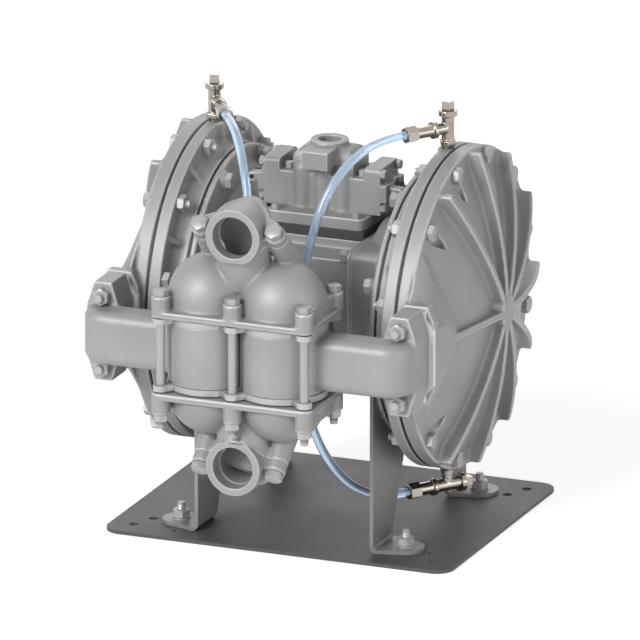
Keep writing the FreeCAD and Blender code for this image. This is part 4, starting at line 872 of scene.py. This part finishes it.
def hexagon_tree() -> Tree:
    """Hexagon with chamfered corners and a bearing ring, on a washer where it has one.

    Returns:
        The tree.
    """
    tree = Tree("hexagons", ("Corner Radius", "Height", "Ring Radius", "Ring Height"))
    corner = tree.inputs["Corner Radius"]
    height = tree.inputs["Height"]
    ring = tree.inputs["Ring Height"]
    prism_height = tree.math("SUBTRACT", height, ring)
    prism = tree.put("GeometryNodeMeshCylinder", {"Vertices": 6, "Radius": corner, "Depth": prism_height})
    prism_at = tree.math("ADD", ring, tree.math("MULTIPLY", prism_height, 0.5))
    body = tree.lifted(prism.outputs["Mesh"], prism_at)
    top_radius = tree.math("MULTIPLY", corner, CHAMFER_TOP)
    low_radius = tree.math("ADD", top_radius, tree.math("MULTIPLY", prism_height, CHAMFER_SLOPE))
    cone_sizes = {"Radius Top": top_radius, "Radius Bottom": low_radius, "Depth": prism_height}
    cone_kind = "GeometryNodeMeshCone"
    cone = tree.lifted(tree.put(cone_kind, {"Vertices": 30, **cone_sizes}).outputs["Mesh"], ring)
    both = {"Mesh 2": [body, cone]}
    cut = tree.put("GeometryNodeMeshBoolean", both, operation="INTERSECT", solver="EXACT").outputs["Mesh"]
    ring_sizes = {"Vertices": 28, "Radius": tree.inputs["Ring Radius"], "Depth": ring}
    disc = tree.put("GeometryNodeMeshCylinder", ring_sizes).outputs["Mesh"]
    washer = tree.lifted(disc, tree.math("MULTIPLY", ring, 0.5))
    tree.finish(tree.put("GeometryNodeJoinGeometry", {"Geometry": [cut, washer]}).outputs[0])
    return tree


def rod_tree() -> Tree:
    """Round pin with a thread on its last stretch and a chamfered end.

    Returns:
        The tree.
    """
    tree = Tree("threaded_rods", ("Radius", "Length", "Thread Length", "Pitch"))
    radius = tree.inputs["Radius"]
    length = tree.inputs["Length"]
    thread = tree.inputs["Thread Length"]
    pitch = tree.inputs["Pitch"]
    plain = tree.math("SUBTRACT", length, thread)
    core_radius = tree.math("MULTIPLY", radius, THREAD_CORE)
    core = tree.put("GeometryNodeMeshCylinder", {"Vertices": 16, "Radius": core_radius, "Depth": length})
    core_up = tree.lifted(core.outputs["Mesh"], tree.math("MULTIPLY", length, 0.5))
    shank = tree.put("GeometryNodeMeshCylinder", {"Vertices": 20, "Radius": radius, "Depth": plain})
    shank_up = tree.lifted(shank.outputs["Mesh"], tree.math("MULTIPLY", plain, 0.5))
    turns = tree.math("FLOOR", tree.math("DIVIDE", tree.math("SUBTRACT", thread, pitch), pitch), 0.0)
    offset = tree.put("ShaderNodeCombineXYZ", {"Z": pitch}).outputs[0]
    start = tree.put("ShaderNodeCombineXYZ", {"Z": plain}).outputs[0]
    line_sizes = {"Count": turns, "Start Location": start, "Offset": offset}
    line = tree.put("GeometryNodeMeshLine", line_sizes, mode="OFFSET").outputs["Mesh"]
    ridge_sizes = {"Vertices": 16, "Radius Top": core_radius, "Radius Bottom": radius, "Depth": pitch}
    ridge = tree.put("GeometryNodeMeshCone", ridge_sizes).outputs["Mesh"]
    ridges = tree.put("GeometryNodeInstanceOnPoints", {"Points": line, "Instance": ridge}).outputs[0]
    parts = [core_up, shank_up, ridges]
    tree.finish(tree.put("GeometryNodeJoinGeometry", {"Geometry": parts}).outputs[0])
    return tree


@dataclass
class Fasteners:
    """All hexagons, studs and washers, set where the CAD has them."""

    ring_height: float = 0.7 * MM
    ring_share: float = 0.97
    pitch: float = 1.5 * MM
    least_pin: float = 0.5 * MM
    washer_height: float = 3.0 * MM
    smooth_angle: float = 32.0

    def __post_init__(self) -> None:
        """Make the two trees."""
        self.hexagons = hexagon_tree()
        self.rods = rod_tree()

    def rod_mesh(self, turned: Turned, finish: Finish, thread: float) -> bpy.types.Mesh:
        """Make one pin from a measured round solid.

        Args:
            turned: The solid.
            finish: Its material.
            thread: Longest threaded stretch in metres.

        Returns:
            The pin's mesh.
        """
        length = turned.above + turned.below + turned.height
        sizes = {"Radius": turned.corner, "Length": length}
        sizes.update({"Thread Length": min(thread, length), "Pitch": self.pitch})
        return self.rods.grown([turned], sizes, finish)

    def stud_of(self, turned: Turned, forward: bool) -> Turned:
        """Give the pin that stands out of a hexagon, above it or below it.

        Args:
            turned: The hexagon.
            forward: Whether the pin stands above it.

        Returns:
            The pin.
        """
        return replace(
            turned,
            seat=turned.seat + (turned.way * turned.height if forward else Vector()),
            way=turned.way if forward else -turned.way,
            corner=turned.pin,
            height=turned.above if forward else turned.below,
            above=0.0,
            below=0.0,
            is_hexagon=False,
        )

    def build(
        self,
        node: str,
        way_of: Callable[[Vector], Vector],
        finish: Finish = BOLT_STEEL,
        thread: float = 1.0,
    ) -> None:
        """Make the fasteners of one CAD node.

        Args:
            node: CAD node that they stand for.
            way_of: Direction of a fastener's axis from the middle of its solid.
            finish: Their material.
            thread: Longest threaded stretch of a pin in metres.
        """
        found = []
        for points in islands(node):
            middle = Vector((points.min(axis=0) + points.max(axis=0)) / 2)
            found.append(measured(points, way_of(middle).normalized()))
        meshes = []
        heads = [t for t in found if t.is_hexagon]
        if heads:
            first = heads[0]
            flats = first.corner * math.cos(math.pi / 6)
            sizes = {"Corner Radius": first.corner, "Height": first.height}
            sizes.update({"Ring Radius": flats * self.ring_share, "Ring Height": self.ring_height})
            meshes.append(self.hexagons.grown(heads, sizes, finish))
        for turned in heads:
            if turned.above > self.least_pin:
                meshes.append(self.rod_mesh(self.stud_of(turned, True), finish, thread))
            if turned.below > self.least_pin:
                meshes.append(self.rod_mesh(self.stud_of(turned, False), finish, thread))
        for turned in found:
            if not turned.is_hexagon:
                is_washer = turned.height < self.washer_height
                meshes.append(self.rod_mesh(turned, finish, 0.0 if is_washer else thread))
        mesh = joined(meshes, node + "_made")
        mesh.shade_smooth()
        mesh.set_sharp_from_angle(angle=math.radians(self.smooth_angle))
        piece(mesh, node + "_set", PUMP, node, finish)


def shaft_z() -> float:
    """Height of the diaphragm rod's axis in metres."""
    low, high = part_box("diaphragm_rod")
    return (low.z + high.z) / 2


def along_x(sign: float) -> Callable[[Vector], Vector]:
    """Give the direction away from the middle along X, or towards it with a sign of minus one."""
    return lambda middle: Vector((math.copysign(1.0, middle.x) * sign, 0.0, 0.0))


def along(x: float, y: float, z: float) -> Callable[[Vector], Vector]:
    """Give one direction for every fastener."""
    return lambda middle: Vector((x, y, z))


# Sub-assemblies


@dataclass
class SubAssembly:
    """What all the sub-assemblies share: the fastener maker and short calls for their pieces."""

    fasteners: Fasteners

    def cast(
        self,
        node: str,
        voxel: float,
        passes: int,
        finish: Finish = CAST,
        more: Sequence[bpy.types.Mesh] = (),
    ) -> None:
        """Make a cast part's skin from its CAD node.

        Args:
            node: CAD node that the skin stands for.
            voxel: Grid of the skin in metres.
            passes: Rounds of smoothing.
            finish: Its material.
            more: Closed meshes that the casting has as well.
        """
        mesh = cast_skin([merged(node), *more], node + "_form", voxel, passes)
        piece(mesh, node + "_casting", PUMP, node, finish)

    def machined(self, node: str, finish: Finish, width: float = 0.4 * MM, body: str = PUMP) -> None:
        """Make a machined, turned or cut part from its CAD node.

        Args:
            node: CAD node that the piece stands for.
            finish: Its material.
            width: Width of its broken edges in metres.
            body: Body that it moves with.
        """
        mesh = soft_edges(merged(node), node + "_form", width)
        piece(mesh, node + "_finished", body, node, finish)

    def build(self) -> None:
        """Make the sub-assembly's pieces."""
        raise NotImplementedError


@dataclass
class Stand(SubAssembly):
    """Base plate, bent leg brackets and their bolts."""

    plate_edge: float = 0.5 * MM
    leg_edge: float = 0.6 * MM

    def build(self) -> None:
        """Make the stand."""
        self.machined("base_plate", BASE_PAINT, self.plate_edge)
        for side in SIDES:
            self.machined(side + "_leg_bracket", LEG_PAINT, self.leg_edge)
        self.fasteners.build("foot_studs", along(0, 0, 1))
        self.fasteners.build("foot_nuts", along(0, 0, 1))


@dataclass
class WetEnds(SubAssembly):
    """Outer chambers with their ribs, the rim's bolts and the diaphragm between the rims."""

    voxel: float = 1.7 * MM
    passes: int = 6

    def build(self) -> None:
        """Make both wet ends."""
        for side in SIDES:
            self.cast(side + "_outer_chamber", self.voxel, self.passes)
            self.machined(side + "_pump_diaphragm", RUBBER, 0.2 * MM)
        self.machined("chamber_plugs", BOLT_STEEL, 0.5 * MM)
        self.fasteners.build("rim_bolts", along_x(1))


@dataclass
class DriveEnds(SubAssembly):
    """Containment and air chambers, their bolts and the driver diaphragm between them."""

    voxel: float = 1.7 * MM
    passes: int = 6
    wall_bore: float = 72.0 * MM
    wall_r: float = 95.0 * MM
    wall_start: float = 68.4 * MM
    wall_end: float = 72.3 * MM

    def back_wall(self, sign: float) -> bpy.types.Mesh:
        """Make the back wall of an air chamber's dish, above and below its square block."""
        start, end = sign * self.wall_start, sign * self.wall_end
        return ring_slab(self.wall_bore, self.wall_r, start, end, shaft_z())

    def build(self) -> None:
        """Make both drive ends."""
        for side, sign in SIDES.items():
            self.cast(side + "_containment_chamber", self.voxel, self.passes)
            self.cast(side + "_air_chamber", self.voxel, self.passes, more=[self.back_wall(sign)])
            self.machined(side + "_driver_diaphragm", RUBBER, 0.2 * MM)
        self.fasteners.build("rim_nuts", along_x(-1))
        self.fasteners.build("driver_bolts", along_x(-1))


@dataclass
class CenterSection(SubAssembly):
    """Centre body with the rod, its plates and the pilot valve inside it."""

    voxel: float = 1.5 * MM
    passes: int = 5

    def build(self) -> None:
        """Make the centre section."""
        self.cast("center_body", self.voxel, self.passes)
        self.fasteners.build("body_bolts", along_x(-1))
        self.machined("rod_bushings", BRONZE)
        self.machined("pilot_body", ALUMINIUM)
        self.machined("pilot_spool", SPOOL, 0.3 * MM, "pilot")
        self.machined("pilot_plungers", ROD_STEEL, 0.3 * MM, "pilot")
        self.machined("diaphragm_rod", ROD_STEEL, 0.4 * MM, "rod")
        self.machined("inner_plates", ALUMINIUM, 0.6 * MM, "rod")
        self.machined("outer_plates", ALUMINIUM, 0.6 * MM, "rod")


@dataclass
class AirValve(SubAssembly):
    """Air distribution valve on its gasket, with end caps, bumpers and its spool."""

    voxel: float = 1.1 * MM
    passes: int = 8
    cap_passes: int = 6

    def build(self) -> None:
        """Make the air valve."""
        self.machined("valve_gasket", ADAPTOR, 0.5 * MM)
        self.cast("valve_body", self.voxel, self.passes, VALVE_CAST)
        for side in SIDES:
            self.cast(side + "_valve_cap", self.voxel, self.cap_passes, VALVE_CAST)
        self.machined("valve_bumpers", BUMPER, 0.3 * MM)
        self.machined("valve_sleeve", BRONZE, 0.3 * MM)
        self.machined("valve_spool", SPOOL, 0.3 * MM, "main_spool")
        self.fasteners.build("valve_screws", along(0, 0, 1))
        self.fasteners.build("cap_screws", along_x(1))


@dataclass
class ValveColumns(SubAssembly):
    """Ball valve columns with their arms, seats, balls and the tie bolts that clamp them."""

    voxel: float = 1.4 * MM
    passes: int = 7
    tie_thread: float = 22.0 * MM

    def build(self) -> None:
        """Make both valve columns."""
        for side in SIDES:
            self.cast(side + "_valve_elbow", self.voxel, self.passes)
            for stage in reversed(STAGES):
                ball = f"{side}_{stage}_ball"
                self.machined(ball, PTFE, 0.0, ball)
        self.machined("seat_plates", CAST, 0.5 * MM)
        self.machined("valve_seats", PTFE, 0.3 * MM)
        self.machined("manifold_gaskets", GASKET, 0.2 * MM)
        self.machined("port_gaskets", PTFE, 0.4 * MM)
        self.fasteners.build("tie_bolts", along(0, 0, 1), TIE_STEEL, self.tie_thread)
        self.fasteners.build("tie_nuts", along(0, 0, -1))
        self.fasteners.build("side_studs", along(0, -1, 0))


@dataclass
class Manifolds(SubAssembly):
    """Discharge and suction manifolds with their inclined threaded ports."""

    voxel: float = 1.4 * MM
    passes: int = 8
    port_voxel: float = 1.0 * MM
    port_passes: int = 4

    def port_way(self, middle: Vector) -> Vector:
        """Give the inclined axis of a port's bolt."""
        return Vector((0.0, -1.0, 1.0 if middle.z > shaft_z() else -1.0))

    def build(self) -> None:
        """Make both manifolds."""
        for stage in STAGES:
            self.cast(stage + "_manifold", self.voxel, self.passes)
            self.cast(stage + "_port", self.port_voxel, self.port_passes)
        self.fasteners.build("port_bolts", self.port_way)


@dataclass
class SightTubes(SubAssembly):
    """Sight tubes with their tees, plugs and compression nuts."""

    tube_diameter: float = 9.5 * MM
    tube_length: float = 0.55
    tee_voxel: float = 0.7 * MM
    tee_passes: int = 3
    tee_x: float = 135.5
    way_x: float = -0.574
    way_y: float = -0.819
    route: tuple[tuple[float, float], ...] = (
        (55.0, 448.0),
        (85.0, 448.0),
        (120.0, 434.5),
        (149.0, 408.0),
        (169.0, 371.0),
        (182.0, 326.0),
        (190.0, 277.0),
        (191.0, 226.0),
        (184.0, 176.0),
        (171.0, 133.0),
        (152.0, 97.0),
        (127.0, 68.0),
        (100.0, 52.5),
        (75.5, 46.0),
        (50.5, 46.0),
    )

    def tube(self, side: str, sign: float) -> None:
        """Make one sight tube as a smooth curve along the CAD's route.

        Args:
            side: left or right.
            sign: Side of the pump along X, 1 or -1.
        """
        curve = bpy.data.curves.new(side + "_sight_tube_line", "CURVE")
        curve.dimensions = "3D"
        curve.bevel_depth = self.tube_diameter / 2
        curve.bevel_resolution = 5
        curve.resolution_u = 10
        curve.use_fill_caps = True
        spline = curve.splines.new("NURBS")
        spline.points.add(len(self.route) - 1)
        points = [
            (sign * (self.tee_x + self.way_x * out) * MM, self.way_y * out * MM, z * MM)
            for out, z in self.route
        ]
        for knot, place in zip(spline.points, points):
            knot.co = (*place, 1.0)
        spline.order_u = 3
        spline.use_endpoint_u = True
        curve.materials.append(TUBE.material())
        obj = shown(curve, side + "_tube_run")
        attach(obj, PUMP)
        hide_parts(side + "_sight_tube")
        LOG.info("%s tube: %d points", side, len(points))

    def nut_way(self, middle: Vector) -> Vector:
        """Give the level direction in which a tube leaves its tee."""
        return Vector((math.copysign(1.0, middle.x) * self.way_x, self.way_y, 0.0))

    def build(self) -> None:
        """Make the fittings and both tubes."""
        self.cast("sight_tees", self.tee_voxel, self.tee_passes, NICKEL)
        self.machined("tee_plugs", NICKEL, 0.5 * MM)
        self.fasteners.build("compression_nuts", self.nut_way, NICKEL)
        for side, sign in SIDES.items():
            self.tube(side, sign)


# Studio


@dataclass(frozen=True)
class Lamp:
    """One soft lamp far away."""

    name: str
    towards: Point
    strength: float
    spread: float

    def light(self) -> None:
        """Put the lamp into the scene."""
        data = bpy.data.lights.new(self.name, "SUN")
        data.energy = self.strength
        data.angle = math.radians(self.spread)
        way = Vector(self.towards).to_track_quat("Z", "Y")
        shown(data, self.name).rotation_euler = way.to_euler()


@dataclass
class Studio:
    """Camera at the photograph's angle, soft lamps, white floor and surroundings."""

    aim: Point = (-0.0128, 0.0, 0.2141)
    back: Point = (0.359, -0.884, 0.299)
    distance: float = 20.0
    lens: float = 1041.7
    ambient: float = 0.36
    ambient_above: float = 0.17
    floor_half: float = 6.0
    floor_drop: float = 0.0006
    floor_level: float = 0.55
    floor_glow: float = 0.32
    floor_bounce: float = 0.4
    lamps: tuple[Lamp, ...] = field(
        default=(
            Lamp("key", (-0.34, -0.90, 0.56), 2.75, 28.0),
            Lamp("side", (0.95, -0.30, 0.03), 1.05, 40.0),
            Lamp("rear", (-0.3, 0.9, 0.6), 0.5, 40.0),
        )
    )

    def camera(self) -> None:
        """Place the camera."""
        data = bpy.data.cameras.new("camera")
        data.lens = self.lens
        data.clip_end = 100.0
        obj = shown(data, "camera")
        back = Vector(self.back).normalized()
        obj.location = Vector(self.aim) + back * self.distance
        obj.rotation_euler = back.to_track_quat("Z", "Y").to_euler()
        bpy.context.scene.camera = obj

    def seen_rays(self, tree: bpy.types.NodeTree) -> bpy.types.NodeSocket:
        """Give 1 for the rays that see the background itself or mirror it, and 0 for the rest.

        Args:
            tree: Tree of the world or of a material.

        Returns:
            The value's socket.
        """
        path = placed(tree, "ShaderNodeLightPath", {}).outputs
        total = path["Is Camera Ray"]
        for name in ("Is Glossy Ray", "Is Transmission Ray"):
            either = placed(tree, "ShaderNodeMath", {0: total, 1: path[name]}, operation="MAXIMUM")
            total = either.outputs[0]
        return total

    def surroundings(self) -> None:
        """Light the object evenly and show white behind it."""
        world = bpy.data.worlds.new("surroundings")
        bpy.context.scene.world = world
        world.use_nodes = True
        tree = world.node_tree
        place = placed(tree, "ShaderNodeTexCoord", {}).outputs["Generated"]
        up = placed(tree, "ShaderNodeSeparateXYZ", {0: place}).outputs["Z"]
        levels = {"Value": up, "To Min": self.ambient, "To Max": self.ambient_above}
        fall = placed(tree, "ShaderNodeMapRange", levels).outputs["Result"]
        even = tree.nodes["Background"]
        fed(tree, even, {"Color": WHITE, "Strength": fall})
        white = placed(tree, "ShaderNodeBackground", {"Color": WHITE, "Strength": 1.0})
        shares = {"Fac": self.seen_rays(tree), 1: even.outputs[0], 2: white.outputs[0]}
        mix = placed(tree, "ShaderNodeMixShader", shares)
        fed(tree, tree.nodes["World Output"], {"Surface": mix.outputs[0]})

    def floor(self) -> None:
        """Lay a pale floor that keeps the object's shadow."""
        half = self.floor_half
        corners = [(-half, -half), (half, -half), (half, half), (-half, half)]
        mesh = bpy.data.meshes.new("floor")
        mesh.from_pydata([(x, y, -self.floor_drop) for x, y in corners], [], [(0, 1, 2, 3)])
        s = Shading("floor_white")
        sums = {0: self.seen_rays(s.tree), 1: self.floor_glow, 2: self.floor_bounce}
        glow = s.put("ShaderNodeMath", sums, operation="MULTIPLY_ADD").outputs[0]
        pale = (*grey(self.floor_level), 1.0)
        s.shade(base_color=pale, roughness=0.9, emission_color=WHITE, emission_strength=glow)
        mesh.materials.append(s.material)
        shown(mesh, "floor")

    def build(self) -> None:
        """Make the studio."""
        bpy.context.scene.view_settings.view_transform = "Standard"
        self.camera()
        self.surroundings()
        self.floor()
        for lamp in self.lamps:
            lamp.light()


def main() -> None:
    """Build the pump piece by piece and its studio."""
    logging.basicConfig(level=logging.INFO, format="%(name)s: %(message)s")
    Studio().build()
    fasteners = Fasteners()
    for kind in (SightTubes, Stand, WetEnds, DriveEnds, CenterSection, AirValve, ValveColumns, Manifolds):
        LOG.info("building %s", kind.__name__)
        kind(fasteners).build()


if __name__ == "__main__":
    main()
